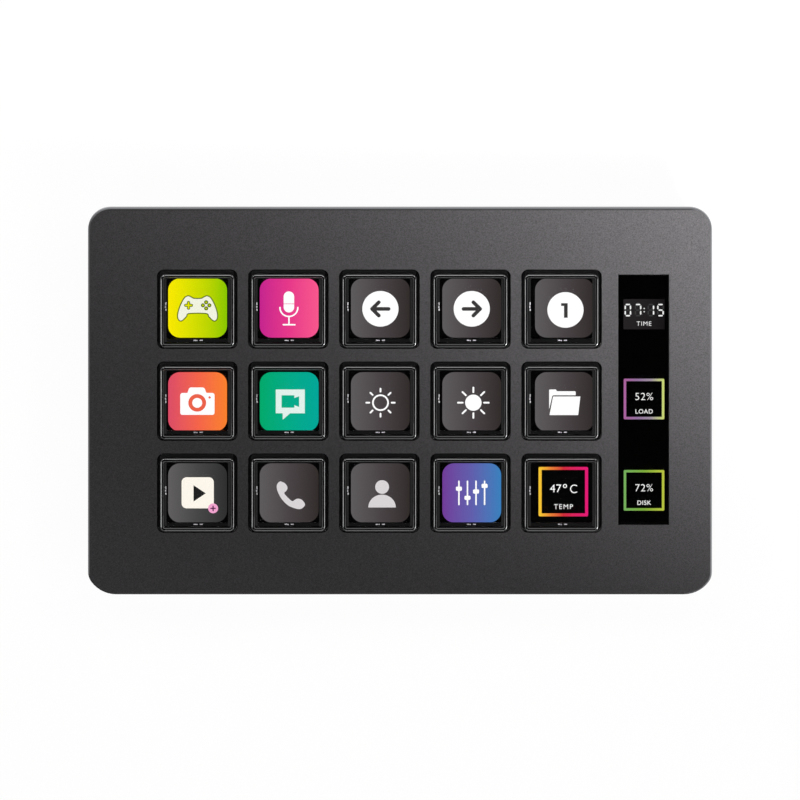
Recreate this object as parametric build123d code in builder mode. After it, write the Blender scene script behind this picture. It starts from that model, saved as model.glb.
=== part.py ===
"""Macro keypad with fifteen clear push keys over one display panel.

A slab that lies on a desk. An aluminium face plate is pierced by a grid of keys, five across
and three deep, and by a tall window beside them. Each key is a clear block in a black frame
that slides in a guide under the plate and is pushed back up by four silicone domes. The
panel under the keys shows a picture through every block. A moulded base with sloping walls
closes the underside and holds a fold-out stand.

The origin is at the middle of the footprint, on the surface that the feet stand on. +Z is up,
+X is to the right and +Y is to the rear, where the cable socket is. All sizes are millimetres.
"""

import os
from math import asin, degrees, hypot, radians, sin, tan

from build123d import *

os.makedirs("parts", exist_ok=True)


# ---- Driving dimensions ----

# Keys
key_columns = 5
key_rows = 3
column_pitch = 25.55
row_pitch = 26.2
key_opening = 22.3
key_opening_radius = 1.8
key_side_gap = 0.75
key_rise = 3.2  # the rim of a key above the plate
key_travel = 1.4
key_rim_width = 0.9
key_rim_fillet = 0.35
key_rim_inner_chamfer = 0.15
key_ledge_width = 0.85
key_ledge_thickness = 0.5
flange_overlap = 0.85  # how far the flange reaches under the plate on each side
flange_thickness = 0.9
flange_guide_gap = 0.15
lens_recess = 0.2
lens_side_gap = 0.05
lens_edge_chamfer = 0.25
lens_floor_gap = 0.3  # left over the glass when the key is fully down

# Dome mat and contact board
dome_height = 2.0
dome_top_radius = 0.65
dome_base_radius = 1.1
dome_recess_radius = 0.35
mat_thickness = 0.4
mat_margin = 1.0  # mat outside the outermost pockets of the guide
contact_board_thickness = 0.6
contact_window_gap = 1.15  # around the foot of a lens

# Status window
window_width = 14.2
window_depth = 71.0
window_centre_y = 0.4
window_gap = 4.75  # plate between the last key opening and the window
window_side_gap = 0.1
window_recess = 0.05
window_flange_overlap = 1.6
window_flange_thickness = 1.0
window_guide_gap = 0.2
gasket_width = 1.4

# Display panel
tray_margin = 3.0  # tray outside the keys' pockets and the window's flange
tray_wall = 0.6
tray_floor = 0.4
tray_play = 0.2
tray_lip = 0.2  # the tray's rim above the glass
glass_thickness = 1.2
backlight_thickness = 2.4

# Face plate
plate_thickness = 1.6
plate_edge_chamfer = 0.45
opening_edge_chamfer = 0.15
rear_corner_radius = 6.3
front_corner_radius = 4.6  # the tighter arc of a front corner, at the side
front_corner_extra_run = 3.3  # how much further the corner reaches along the front edge
front_corner_extra_rise = 1.7  # how much further it reaches up the side

# Base
case_room_left = 10.7  # from the tray to the base's inner wall, at the bracket's level
case_room_right = 2.7
case_room_ends = 9.0
base_draft = 10.0  # degrees
base_setback = 1.2  # the base's rim inside the plate's edge
base_wall = 2.0
base_floor = 2.0
base_edge_radius = 1.2
base_part_gap = 0.5  # from the base's inner wall to the parts that drop into it
bracket_thickness = 0.8
component_headroom = 0.5  # from the tallest component to the bracket

# Case screws
case_screw_inset_x = 11.5
case_screw_middle_x = 2.0
case_screw_diameter = 2.5
case_screw_bite = 4.0
case_screw_head_diameter = 4.4
case_screw_head_height = 1.6
case_boss_diameter = 6.2
case_boss_gap = 0.6
screw_hole_gap = 0.2
screw_thread_gap = 0.02
screw_head_gap = 0.3
screw_drive_width = 0.6
screw_drive_span = 2.6
screw_drive_depth = 0.9

# Main board
board_width = 116.0
board_thickness = 1.6
board_over_pocket = 1.3
board_boss_gap = 0.9
board_post_inset_x = 4.5
board_post_inset_rear = 7.0
board_post_inset_front = 8.4
board_post_diameter = 5.0
board_screw_diameter = 2.0
board_screw_length = 4.5
board_screw_head_diameter = 3.8
board_screw_head_height = 1.2
board_tab_width = 20.0

# Components on the main board: length, width, height and place from the board's middle
chip_sizes = {
    "processor": (14.0, 14.0, 1.4, (8.0, 2.0)),
    "memory": (11.0, 9.0, 1.1, (26.0, 2.0)),
    "flash": (8.0, 6.0, 1.2, (8.0, 18.0)),
    "display_driver": (10.0, 10.0, 1.2, (38.0, -18.0)),
    "key_scanner": (7.0, 7.0, 1.0, (-34.0, -16.0)),
    "power_regulator": (6.5, 6.0, 1.6, (-30.0, 24.0)),
    "inductor": (5.0, 5.0, 1.8, (-18.0, 24.0)),
    "crystal": (5.0, 3.2, 0.9, (-6.0, 2.0)),
}

# Cable socket
socket_x = -30.0
socket_width = 8.94
socket_height = 3.26
socket_length = 7.35
socket_wall = 0.3
socket_tongue_width = 6.69
socket_tongue_thickness = 0.7
socket_tongue_setback = 0.6
socket_hole_gap = 0.25
socket_mouth_proud = 0.3
socket_pocket_gap = 1.4
plug_recess_width = 13.0
plug_recess_height = 7.0
plug_recess_depth = 0.7

# Ribbon cables and their connectors
ribbon_thickness = 0.3
ribbon_bend_radius = 0.9
ribbon_wall_gap = 1.6  # from the tray to the drop of a ribbon
ribbon_slot_gap = 0.6
ribbon_reach = 9.5  # from the drop to the connector
display_ribbon_width = 26.0
matrix_ribbon_width = 14.0
connector_depth = 4.2
connector_height = 1.7
connector_overhang = 3.0  # connector body past each side of its ribbon
connector_inset = 2.0  # from the board's side to the connector

# Stand
stand_width = 88.0
stand_reach = 58.0  # hinge axis to tip
stand_thickness = 4.4
stand_recess = 0.3
stand_opening = 70.0  # degrees
stand_pocket_gap = 0.4
stand_ceiling_gap = 0.5
stand_stop_gap = 0.12
stand_pin_diameter = 2.4
stand_pin_running_gap = 0.05
stand_pin_in_leg = 6.0
stand_pin_in_ear = 4.0
stand_ear_wall = 1.4
stand_grip_length = 3.6
stand_grip_tongue_thickness = 1.6
stand_grip_tongue_length = 1.4
stand_grip_radius = 0.8
stand_well_count = 4
stand_well_wall = 1.6
stand_well_rib = 2.0
stand_well_depth = 2.4
stand_well_radius = 0.8
pocket_wall = 1.6
finger_notch_width = 26.0
finger_notch_reach = 7.0
finger_notch_depth = 3.2

# Feet
foot_diameter = 11.0
foot_height = 1.5
foot_recess = 1.0
foot_recess_gap = 0.15
foot_edge_fillet = 0.5
foot_ear_gap = 8.7  # from the stand's ears to the feet
foot_inset_y = 15.0


# ---- Levels, from the feet up to the rims of the keys ----

base_bottom = foot_height
floor_top = base_bottom + base_floor
stand_hinge_z = base_bottom + stand_recess + stand_thickness / 2
stand_ceiling_clearance = stand_thickness / 2 + stand_ceiling_gap
pocket_top = stand_hinge_z + stand_ceiling_clearance
board_underside = pocket_top + pocket_wall + board_over_pocket
board_top = board_underside + board_thickness
tallest_component = max(
    connector_height,
    board_screw_head_height,
    *(height for length, width, height, place in chip_sizes.values()),
)
bracket_underside = board_top + tallest_component + component_headroom
tray_underside = bracket_underside + bracket_thickness
backlight_underside = tray_underside + tray_floor
glass_underside = backlight_underside + backlight_thickness
glass_top = glass_underside + glass_thickness
contact_board_underside = glass_top + tray_lip
mat_underside = contact_board_underside + contact_board_thickness
mat_top = mat_underside + mat_thickness
flange_underside = mat_top + dome_height
plate_underside = flange_underside + flange_thickness
plate_top = plate_underside + plate_thickness
key_top = plate_top + key_rise
key_ledge_top = flange_underside + key_ledge_thickness
lens_bottom = glass_top + key_travel + lens_floor_gap
lens_top = key_top - lens_recess


# ---- Plan: each size follows from what it holds, from the keys outwards ----

key_size = key_opening - 2 * key_side_gap
key_radius = key_opening_radius - key_side_gap / 2
lens_pocket = key_size - 2 * key_rim_width
lens_pocket_radius = max(key_radius - key_rim_width, 0.4)
key_aperture = lens_pocket - 2 * key_ledge_width
lens_foot = key_aperture - 2 * lens_side_gap
flange_size = key_opening + 2 * flange_overlap
flange_pocket = flange_size + 2 * flange_guide_gap
contact_window = lens_foot + 2 * contact_window_gap
dome_offset = key_size / 2 + dome_top_radius  # a dome stands beside the key, under its flange

key_field_width = (key_columns - 1) * column_pitch + flange_pocket
key_field_depth = (key_rows - 1) * row_pitch + flange_pocket
window_flange_width = window_width + 2 * window_flange_overlap
window_flange_depth = window_depth + 2 * window_flange_overlap
gasket_opening_width = window_flange_width - 2 * gasket_width
gasket_opening_depth = window_flange_depth - 2 * gasket_width
window_bridge = window_gap - flange_overlap - flange_guide_gap - window_flange_overlap
tray_width = key_field_width + window_bridge + window_flange_width + 2 * tray_margin
tray_depth = 2 * tray_margin + max(
    key_field_depth, window_flange_depth + 2 * abs(window_centre_y)
)
glass_width = tray_width - 2 * (tray_wall + tray_play)
glass_depth = tray_depth - 2 * (tray_wall + tray_play)

draft_slope = tan(radians(base_draft))
wall_run = base_setback + base_wall + (plate_underside - bracket_underside) * draft_slope
plate_width = tray_width + case_room_left + case_room_right + 2 * wall_run
plate_depth = tray_depth + 2 * (case_room_ends + wall_run)

tray_left_x = wall_run + case_room_left - plate_width / 2
tray_centre_x = tray_left_x + tray_width / 2
tray_front_y = -tray_depth / 2
key_field_x = tray_left_x + tray_margin + key_field_width / 2
window_centre = (
    tray_left_x + tray_width - tray_margin - window_flange_width / 2,
    window_centre_y,
)
key_centres = [
    (
        key_field_x + (column - (key_columns - 1) / 2) * column_pitch,
        ((key_rows - 1) / 2 - row) * row_pitch,
    )
    for row in range(key_rows)
    for column in range(key_columns)
]

case_screw_x = plate_width / 2 - case_screw_inset_x
case_screw_y = tray_depth / 2 + case_boss_gap + case_boss_diameter / 2
case_screw_places = [
    (x, y)
    for x in (-case_screw_x, case_screw_middle_x, case_screw_x)
    for y in (-case_screw_y, case_screw_y)
]

ribbon_drop_y = tray_front_y - ribbon_wall_gap
ribbon_entry_z = board_top + connector_height / 2
board_front_y = ribbon_drop_y + ribbon_reach
board_rear_y = case_screw_y - case_boss_diameter / 2 - board_boss_gap
board_centre_y = (board_front_y + board_rear_y) / 2
board_post_places = [
    (x, y)
    for x in (board_post_inset_x - board_width / 2, board_width / 2 - board_post_inset_x)
    for y in (board_front_y + board_post_inset_front, board_rear_y - board_post_inset_rear)
]
connector_side = board_width / 2 - connector_inset - connector_overhang
display_ribbon_x = connector_side - display_ribbon_width / 2
matrix_ribbon_x = matrix_ribbon_width / 2 - connector_side
ribbon_places = [
    (display_ribbon_x, display_ribbon_width),
    (matrix_ribbon_x, matrix_ribbon_width),
]

rear_rim_y = plate_depth / 2 - base_setback
socket_z = board_underside - socket_height / 2
socket_wall_y = rear_rim_y - (plate_underside - socket_z) * draft_slope
socket_rear_y = socket_wall_y - plug_recess_depth + socket_mouth_proud
socket_front_y = socket_rear_y - socket_length
board_tab_wall_y = rear_rim_y - (plate_underside - board_underside) * draft_slope
board_tab_rear_y = board_tab_wall_y - base_wall - base_part_gap

stand_heel = (stand_ceiling_clearance - stand_stop_gap) / sin(radians(stand_opening))
stand_heel_sweep = hypot(stand_heel, stand_thickness / 2)
pocket_rear_y = socket_front_y - socket_pocket_gap - pocket_wall
stand_hinge_y = pocket_rear_y - stand_pocket_gap - stand_heel_sweep
stand_tip_y = stand_hinge_y - stand_reach
pocket_front_y = stand_tip_y - stand_pocket_gap
pocket_centre_y = (pocket_front_y + pocket_rear_y) / 2
pocket_half_width = stand_width / 2 + stand_pocket_gap
ear_half_width = pocket_half_width + stand_pin_in_ear + stand_ear_wall

foot_x = ear_half_width + foot_ear_gap + foot_diameter / 2
foot_y = plate_depth / 2 - foot_inset_y
foot_places = {
    "foot_front_left": (-foot_x, -foot_y),
    "foot_front_right": (foot_x, -foot_y),
    "foot_rear_left": (-foot_x, foot_y),
    "foot_rear_right": (foot_x, foot_y),
}


# ---- Outlines shared by the plate, the base and what drops into it ----


def panel_outline(inset=0.0, softening=0.0):
    """The plate's outline moved inwards by inset, with every corner arc larger by softening.

    The rear corners are single arcs. Each front corner is a tight arc at the side that runs
    into a wider arc at the front, so that it reaches further along the front edge.
    """
    side_x = plate_width / 2
    rear_y = plate_depth / 2
    rear_radius = rear_corner_radius + softening
    tight_radius = front_corner_radius + softening
    run = tight_radius + front_corner_extra_run
    rise = tight_radius + front_corner_extra_rise
    arc_reach = front_corner_extra_run**2 + front_corner_extra_rise**2
    arc_excess = front_corner_extra_run**2 - front_corner_extra_rise**2
    wide_radius = tight_radius + arc_reach / (2 * front_corner_extra_rise)
    join_angle = degrees(asin(arc_excess / arc_reach))
    with BuildSketch() as outline:
        with BuildLine():
            Line((0, inset - rear_y), (side_x - run, inset - rear_y))
            CenterArc(
                (side_x - run, wide_radius - rear_y), wide_radius - inset, -90, 90 - join_angle
            )
            CenterArc(
                (side_x - tight_radius, rise - rear_y), tight_radius - inset, -join_angle, join_angle
            )
            Line((side_x - inset, rise - rear_y), (side_x - inset, rear_y - rear_radius))
            CenterArc((side_x - rear_radius, rear_y - rear_radius), rear_radius - inset, 0, 90)
            Line((side_x - rear_radius, rear_y - inset), (0, rear_y - inset))
            mirror(about=Plane.YZ)
        make_face()
    return outline.sketch


def base_section(level, inward=0.0):
    """The base's outline at a level, moved inwards from its sloping outer wall."""
    drop = (plate_underside - level) * draft_slope
    return panel_outline(base_setback + drop + inward, drop + inward / 2)


# ---- Face plate: sheet aluminium with a bright chamfer, pierced for the keys and the window ----

with BuildPart() as face_plate:
    with BuildSketch(Plane.XY.offset(plate_underside)):
        add(panel_outline())
    extrude(amount=plate_thickness)
    chamfer(face_plate.edges().group_by(Axis.Z)[-1], plate_edge_chamfer)
    with BuildSketch(Plane.XY.offset(plate_underside)):
        with Locations(key_centres):
            RectangleRounded(key_opening, key_opening, key_opening_radius)
        with Locations(window_centre):
            Rectangle(window_width, window_depth)
    extrude(amount=plate_thickness, mode=Mode.SUBTRACT)
    opening_rims = face_plate.faces().sort_by(Axis.Z)[-1].inner_wires()
    chamfer([edge for rim in opening_rims for edge in rim.edges()], opening_edge_chamfer)

face_plate.part.label = "face_plate"
export_step(face_plate.part, "parts/face_plate.step")


# ---- Status window: dark acrylic bonded under the plate, its face almost flush ----

with BuildPart() as status_window:
    with BuildSketch(Plane.XY.offset(plate_underside - window_flange_thickness)):
        with Locations(window_centre):
            Rectangle(window_flange_width, window_flange_depth)
    extrude(amount=window_flange_thickness)
    with BuildSketch(Plane.XY.offset(plate_underside)):
        with Locations(window_centre):
            Rectangle(window_width - 2 * window_side_gap, window_depth - 2 * window_side_gap)
    extrude(amount=plate_thickness - window_recess)

status_window.part.label = "status_window"
export_step(status_window.part, "parts/status_window.step")


# ---- Window gasket: a foam frame that keeps the panel's light in the window ----

with BuildPart() as window_gasket:
    with BuildSketch(Plane.XY.offset(mat_underside)):
        with Locations(window_centre):
            Rectangle(window_flange_width, window_flange_depth)
            Rectangle(gasket_opening_width, gasket_opening_depth, mode=Mode.SUBTRACT)
    extrude(amount=plate_underside - window_flange_thickness - mat_underside)

window_gasket.part.label = "window_gasket"
export_step(window_gasket.part, "parts/window_gasket.step")


# ---- Key frame: glossy black cup with a raised rim, an inner ledge and a flange below ----

with BuildPart() as key_frame:
    with BuildSketch(Plane.XY.offset(flange_underside)):
        RectangleRounded(flange_size, flange_size, key_radius)
    extrude(amount=flange_thickness)
    with BuildSketch(Plane.XY.offset(plate_underside)):
        RectangleRounded(key_size, key_size, key_radius)
    extrude(amount=key_top - plate_underside)
    with BuildSketch(Plane.XY.offset(key_ledge_top)):
        RectangleRounded(lens_pocket, lens_pocket, lens_pocket_radius)
    extrude(amount=key_top - key_ledge_top, mode=Mode.SUBTRACT)
    with BuildSketch(Plane.XY.offset(flange_underside)):
        RectangleRounded(key_aperture, key_aperture, lens_pocket_radius)
    extrude(amount=key_ledge_thickness, mode=Mode.SUBTRACT)
    rim_face = key_frame.faces().sort_by(Axis.Z)[-1]
    fillet(rim_face.outer_wire().edges(), key_rim_fillet)
    rim_face = key_frame.faces().filter_by(Axis.Z).sort_by(Axis.Z)[-1]
    chamfer(rim_face.inner_wires()[0].edges(), key_rim_inner_chamfer)


# ---- Key lens: clear acrylic block that sits on the ledge and reaches down to the panel ----

with BuildPart() as key_lens:
    with BuildSketch(Plane.XY.offset(lens_bottom)):
        RectangleRounded(lens_foot, lens_foot, lens_pocket_radius - lens_side_gap)
    extrude(amount=key_ledge_top - lens_bottom)
    with BuildSketch(Plane.XY.offset(key_ledge_top)):
        RectangleRounded(
            lens_pocket - 2 * lens_side_gap,
            lens_pocket - 2 * lens_side_gap,
            lens_pocket_radius - lens_side_gap,
        )
    extrude(amount=lens_top - key_ledge_top)
    chamfer(key_lens.faces().sort_by(Axis.Z)[-1].edges(), lens_edge_chamfer)

for number, (key_x, key_y) in enumerate(key_centres, start=1):
    for piece, name in ((key_frame, "key_frame"), (key_lens, "key_lens")):
        placed = piece.part.moved(Location((key_x, key_y, 0)))
        placed.label = f"{name}_{number}"
        export_step(placed, f"parts/{placed.label}.step")


# ---- Key guide: black lattice under the plate, with a pocket for each flange ----

with BuildPart() as key_guide:
    with BuildSketch(Plane.XY.offset(mat_top)):
        add(base_section(mat_top, base_wall + base_part_gap))
        with Locations(key_centres):
            RectangleRounded(flange_pocket, flange_pocket, key_radius, mode=Mode.SUBTRACT)
        with Locations(window_centre):
            Rectangle(
                window_flange_width + 2 * window_guide_gap,
                window_flange_depth + 2 * window_guide_gap,
                mode=Mode.SUBTRACT,
            )
    extrude(amount=plate_underside - mat_top)
    with BuildSketch(Plane.XY.offset(tray_underside)):
        with Locations(case_screw_places):
            Circle(case_boss_diameter / 2)
    extrude(amount=mat_top - tray_underside)
    with BuildSketch(Plane.XY.offset(tray_underside)):
        with Locations(case_screw_places):
            Circle(case_screw_diameter / 2 + screw_thread_gap)
    extrude(amount=case_screw_bite + screw_head_gap, mode=Mode.SUBTRACT)

key_guide.part.label = "key_guide"
export_step(key_guide.part, "parts/key_guide.step")


# ---- Dome mat: one silicone sheet, windowed for the lenses, four domes to a key ----

dome_offsets = [(dome_offset, 0), (-dome_offset, 0), (0, dome_offset), (0, -dome_offset)]
dome_places = [(x + dx, y + dy) for x, y in key_centres for dx, dy in dome_offsets]

with BuildPart() as dome_mat:
    with BuildSketch(Plane.XY.offset(mat_underside)):
        with Locations((key_field_x, 0)):
            Rectangle(key_field_width + 2 * mat_margin, key_field_depth + 2 * mat_margin)
        with Locations(key_centres):
            RectangleRounded(
                contact_window, contact_window, lens_pocket_radius, mode=Mode.SUBTRACT
            )
    extrude(amount=mat_thickness)
    with Locations([(x, y, mat_top) for x, y in dome_places]):
        Cone(
            dome_base_radius,
            dome_top_radius,
            dome_height,
            align=(Align.CENTER, Align.CENTER, Align.MIN),
        )
    with Locations([(x, y, mat_underside) for x, y in dome_places]):
        Cylinder(
            dome_recess_radius,
            mat_thickness,
            align=(Align.CENTER, Align.CENTER, Align.MIN),
            mode=Mode.SUBTRACT,
        )

dome_mat.part.label = "dome_mat"
export_step(dome_mat.part, "parts/dome_mat.step")


# ---- Contact board: circuit on the tray's rim, cut out under each lens and the window ----

with BuildPart() as contact_board:
    with BuildSketch(Plane.XY.offset(contact_board_underside)):
        with Locations((tray_centre_x, 0)):
            Rectangle(tray_width, tray_depth)
        with Locations(window_centre):
            Rectangle(gasket_opening_width, gasket_opening_depth, mode=Mode.SUBTRACT)
        with Locations(key_centres):
            RectangleRounded(
                contact_window, contact_window, lens_pocket_radius, mode=Mode.SUBTRACT
            )
    extrude(amount=contact_board_thickness)

contact_board.part.label = "contact_board"
export_step(contact_board.part, "parts/contact_board.step")


# ---- Display panel: glass and backlight in a folded steel tray ----

with BuildPart() as display_glass:
    with BuildSketch(Plane.XY.offset(glass_underside)):
        with Locations((tray_centre_x, 0)):
            Rectangle(glass_width, glass_depth)
    extrude(amount=glass_thickness)

display_glass.part.label = "display_glass"
export_step(display_glass.part, "parts/display_glass.step")

with BuildPart() as backlight:
    with BuildSketch(Plane.XY.offset(backlight_underside)):
        with Locations((tray_centre_x, 0)):
            Rectangle(glass_width, glass_depth)
    extrude(amount=backlight_thickness)

backlight.part.label = "backlight"
export_step(backlight.part, "parts/backlight.step")

with BuildPart() as panel_tray:
    with BuildSketch(Plane.XY.offset(tray_underside)):
        with Locations((tray_centre_x, 0)):
            Rectangle(tray_width, tray_depth)
    extrude(amount=contact_board_underside - tray_underside)
    with BuildSketch(Plane.XY.offset(backlight_underside)):
        with Locations((tray_centre_x, 0)):
            Rectangle(tray_width - 2 * tray_wall, tray_depth - 2 * tray_wall)
    extrude(amount=contact_board_underside - backlight_underside, mode=Mode.SUBTRACT)
    # Notch in the front wall, where the display ribbon leaves the glass
    with BuildSketch(Plane.XY.offset(glass_underside)):
        with Locations((display_ribbon_x, tray_front_y)):
            Rectangle(display_ribbon_width + 2 * ribbon_slot_gap, 4 * tray_wall)
    extrude(amount=contact_board_underside - glass_underside, mode=Mode.SUBTRACT)

panel_tray.part.label = "panel_tray"
export_step(panel_tray.part, "parts/panel_tray.step")


# ---- Panel bracket: steel sheet clamped between the base's bosses and the guide's ----

with BuildPart() as panel_bracket:
    with BuildSketch(Plane.XY.offset(bracket_underside)):
        add(base_section(bracket_underside, base_wall + base_part_gap))
        with Locations(case_screw_places):
            Circle(case_screw_diameter / 2 + screw_hole_gap, mode=Mode.SUBTRACT)
        for ribbon_x, ribbon_width in ribbon_places:
            with Locations((ribbon_x, ribbon_drop_y)):
                Rectangle(
                    ribbon_width + 2 * ribbon_slot_gap,
                    ribbon_thickness + 2 * ribbon_slot_gap,
                    mode=Mode.SUBTRACT,
                )
    extrude(amount=bracket_thickness)

panel_bracket.part.label = "panel_bracket"
export_step(panel_bracket.part, "parts/panel_bracket.step")


# ---- Main board, with a tab that carries the cable socket on its underside ----

with BuildPart() as main_board:
    with BuildSketch(Plane.XY.offset(board_underside)):
        with Locations((0, board_centre_y)):
            Rectangle(board_width, board_rear_y - board_front_y)
        with Locations((socket_x, (board_rear_y + board_tab_rear_y) / 2)):
            Rectangle(board_tab_width, board_tab_rear_y - board_rear_y)
        with Locations(board_post_places):
            Circle(board_screw_diameter / 2 + screw_hole_gap, mode=Mode.SUBTRACT)
    extrude(amount=board_thickness)

main_board.part.label = "main_board"
export_step(main_board.part, "parts/main_board.step")


# ---- Components on the main board ----

with BuildPart() as board_chips:
    for length, width, height, (chip_x, chip_y) in chip_sizes.values():
        with BuildSketch(Plane.XY.offset(board_top)):
            with Locations((chip_x, board_centre_y + chip_y)):
                Rectangle(length, width)
        extrude(amount=height)

board_chips.part.label = "board_chips"
export_step(board_chips.part, "parts/board_chips.step")


# ---- Ribbon connectors on the board's front edge ----

with BuildPart() as ribbon_connectors:
    with BuildSketch(Plane.XY.offset(board_top)):
        for ribbon_x, ribbon_width in ribbon_places:
            with Locations((ribbon_x, board_front_y + connector_depth / 2)):
                Rectangle(ribbon_width + 2 * connector_overhang, connector_depth)
    extrude(amount=connector_height)

ribbon_connectors.part.label = "ribbon_connectors"
export_step(ribbon_connectors.part, "parts/ribbon_connectors.step")


# ---- Ribbons: flat cables from the panel and the contact board, down to the connectors ----

ribbon_starts = {
    "display_ribbon": (
        display_ribbon_x,
        display_ribbon_width,
        -glass_depth / 2,
        glass_underside + glass_thickness / 2,
    ),
    "matrix_ribbon": (
        matrix_ribbon_x,
        matrix_ribbon_width,
        tray_front_y,
        contact_board_underside + contact_board_thickness / 2,
    ),
}

for label, (ribbon_x, ribbon_width, start_y, start_z) in ribbon_starts.items():
    with BuildPart() as ribbon:
        with BuildSketch(Plane.YZ.offset(ribbon_x - ribbon_width / 2)):
            with BuildLine():
                FilletPolyline(
                    (start_y, start_z),
                    (ribbon_drop_y, start_z),
                    (ribbon_drop_y, ribbon_entry_z),
                    (board_front_y, ribbon_entry_z),
                    radius=ribbon_bend_radius,
                )
            trace(line_width=ribbon_thickness)
        extrude(amount=ribbon_width)
    ribbon.part.label = label
    export_step(ribbon.part, f"parts/{label}.step")


# ---- Cable socket: a steel shell with a tongue inside ----

with BuildPart() as socket_shell:
    with BuildSketch(Plane.XZ.offset(-socket_rear_y)):
        with Locations((socket_x, socket_z)):
            SlotOverall(socket_width, socket_height)
    extrude(amount=socket_length)
    with BuildSketch(Plane.XZ.offset(-socket_rear_y)):
        with Locations((socket_x, socket_z)):
            SlotOverall(socket_width - 2 * socket_wall, socket_height - 2 * socket_wall)
    extrude(amount=socket_length - socket_wall, mode=Mode.SUBTRACT)

socket_shell.part.label = "socket_shell"
export_step(socket_shell.part, "parts/socket_shell.step")

with BuildPart() as socket_tongue:
    with BuildSketch(Plane.XZ.offset(-(socket_rear_y - socket_tongue_setback))):
        with Locations((socket_x, socket_z)):
            Rectangle(socket_tongue_width, socket_tongue_thickness)
    extrude(amount=socket_length - socket_wall - socket_tongue_setback)

socket_tongue.part.label = "socket_tongue"
export_step(socket_tongue.part, "parts/socket_tongue.step")


# ---- Base: moulded tray with sloping walls, screw bosses, board posts and the stand's pocket ----

with BuildPart() as base_shell:
    with BuildSketch(Plane.XY.offset(plate_underside)):
        add(base_section(plate_underside))
    with BuildSketch(Plane.XY.offset(base_bottom)):
        add(base_section(base_bottom))
    loft(ruled=True)
    fillet(base_shell.edges().group_by(Axis.Z)[0], base_edge_radius)
    with BuildSketch(Plane.XY.offset(plate_underside)):
        add(base_section(plate_underside, base_wall))
    with BuildSketch(Plane.XY.offset(floor_top)):
        add(base_section(floor_top, base_wall))
    loft(ruled=True, mode=Mode.SUBTRACT)

    # Cover over the stand's pocket, with an ear at each side for the hinge pins
    with BuildSketch(Plane.XY.offset(floor_top)):
        with Locations((0, pocket_centre_y)):
            Rectangle(
                2 * (pocket_half_width + pocket_wall),
                pocket_rear_y - pocket_front_y + 2 * pocket_wall,
            )
        with Locations((0, stand_hinge_y)):
            Rectangle(2 * ear_half_width, 2 * (pocket_rear_y - stand_hinge_y + pocket_wall))
    extrude(amount=pocket_top + pocket_wall - floor_top)

    # Bosses for the case screws, up to the panel bracket, and posts for the main board
    with BuildSketch(Plane.XY.offset(floor_top)):
        with Locations(case_screw_places):
            Circle(case_boss_diameter / 2)
    extrude(amount=bracket_underside - floor_top)
    with BuildSketch(Plane.XY.offset(floor_top)):
        with Locations(board_post_places):
            Circle(board_post_diameter / 2)
    extrude(amount=board_underside - floor_top)

    # Screw holes from below and pilot holes from above
    with Locations([(x, y, base_bottom) for x, y in case_screw_places]):
        Cylinder(
            case_screw_diameter / 2 + screw_hole_gap,
            bracket_underside - base_bottom,
            align=(Align.CENTER, Align.CENTER, Align.MIN),
            mode=Mode.SUBTRACT,
        )
        Cylinder(
            case_screw_head_diameter / 2 + screw_head_gap,
            case_screw_head_height + screw_head_gap,
            align=(Align.CENTER, Align.CENTER, Align.MIN),
            mode=Mode.SUBTRACT,
        )
    with Locations([(x, y, board_underside) for x, y in board_post_places]):
        Cylinder(
            board_screw_diameter / 2 + screw_thread_gap,
            board_screw_length - board_thickness + screw_head_gap,
            align=(Align.CENTER, Align.CENTER, Align.MAX),
            mode=Mode.SUBTRACT,
        )

    # Stand pocket, finger notch, hinge pin bores and foot recesses
    with BuildSketch(Plane.XY.offset(base_bottom)):
        with Locations((0, pocket_centre_y)):
            Rectangle(2 * pocket_half_width, pocket_rear_y - pocket_front_y)
    extrude(amount=pocket_top - base_bottom, mode=Mode.SUBTRACT)
    with BuildSketch(Plane.YZ.offset(-finger_notch_width / 2)):
        with BuildLine():
            Polyline(
                (pocket_front_y, base_bottom),
                (pocket_front_y, base_bottom + finger_notch_depth),
                (pocket_front_y - finger_notch_reach, base_bottom),
                close=True,
            )
        make_face()
    extrude(amount=finger_notch_width, mode=Mode.SUBTRACT)
    with Locations(Location((0, stand_hinge_y, stand_hinge_z), (0, 90, 0))):
        Cylinder(
            stand_pin_diameter / 2 + screw_thread_gap,
            2 * (pocket_half_width + stand_pin_in_ear),
            mode=Mode.SUBTRACT,
        )
    with Locations([(x, y, base_bottom) for x, y in foot_places.values()]):
        Cylinder(
            foot_diameter / 2 + foot_recess_gap,
            foot_recess,
            align=(Align.CENTER, Align.CENTER, Align.MIN),
            mode=Mode.SUBTRACT,
        )

    # Cable socket: a slot through the rear wall and a wider recess for the plug's body
    with BuildSketch(Plane.XZ.offset(-plate_depth / 2)):
        with Locations((socket_x, socket_z)):
            SlotOverall(socket_width + 2 * socket_hole_gap, socket_height + 2 * socket_hole_gap)
    extrude(amount=plate_depth / 2 - socket_front_y + socket_hole_gap, mode=Mode.SUBTRACT)
    with BuildSketch(Plane.XZ.offset(-plate_depth / 2)):
        with Locations((socket_x, socket_z)):
            SlotOverall(plug_recess_width, plug_recess_height)
    extrude(amount=plate_depth / 2 - socket_rear_y + socket_mouth_proud, mode=Mode.SUBTRACT)

base_shell.part.label = "base_shell"
export_step(base_shell.part, "parts/base_shell.step")


# ---- Case screws and board screws: cheese heads with a cross drive ----

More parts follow.
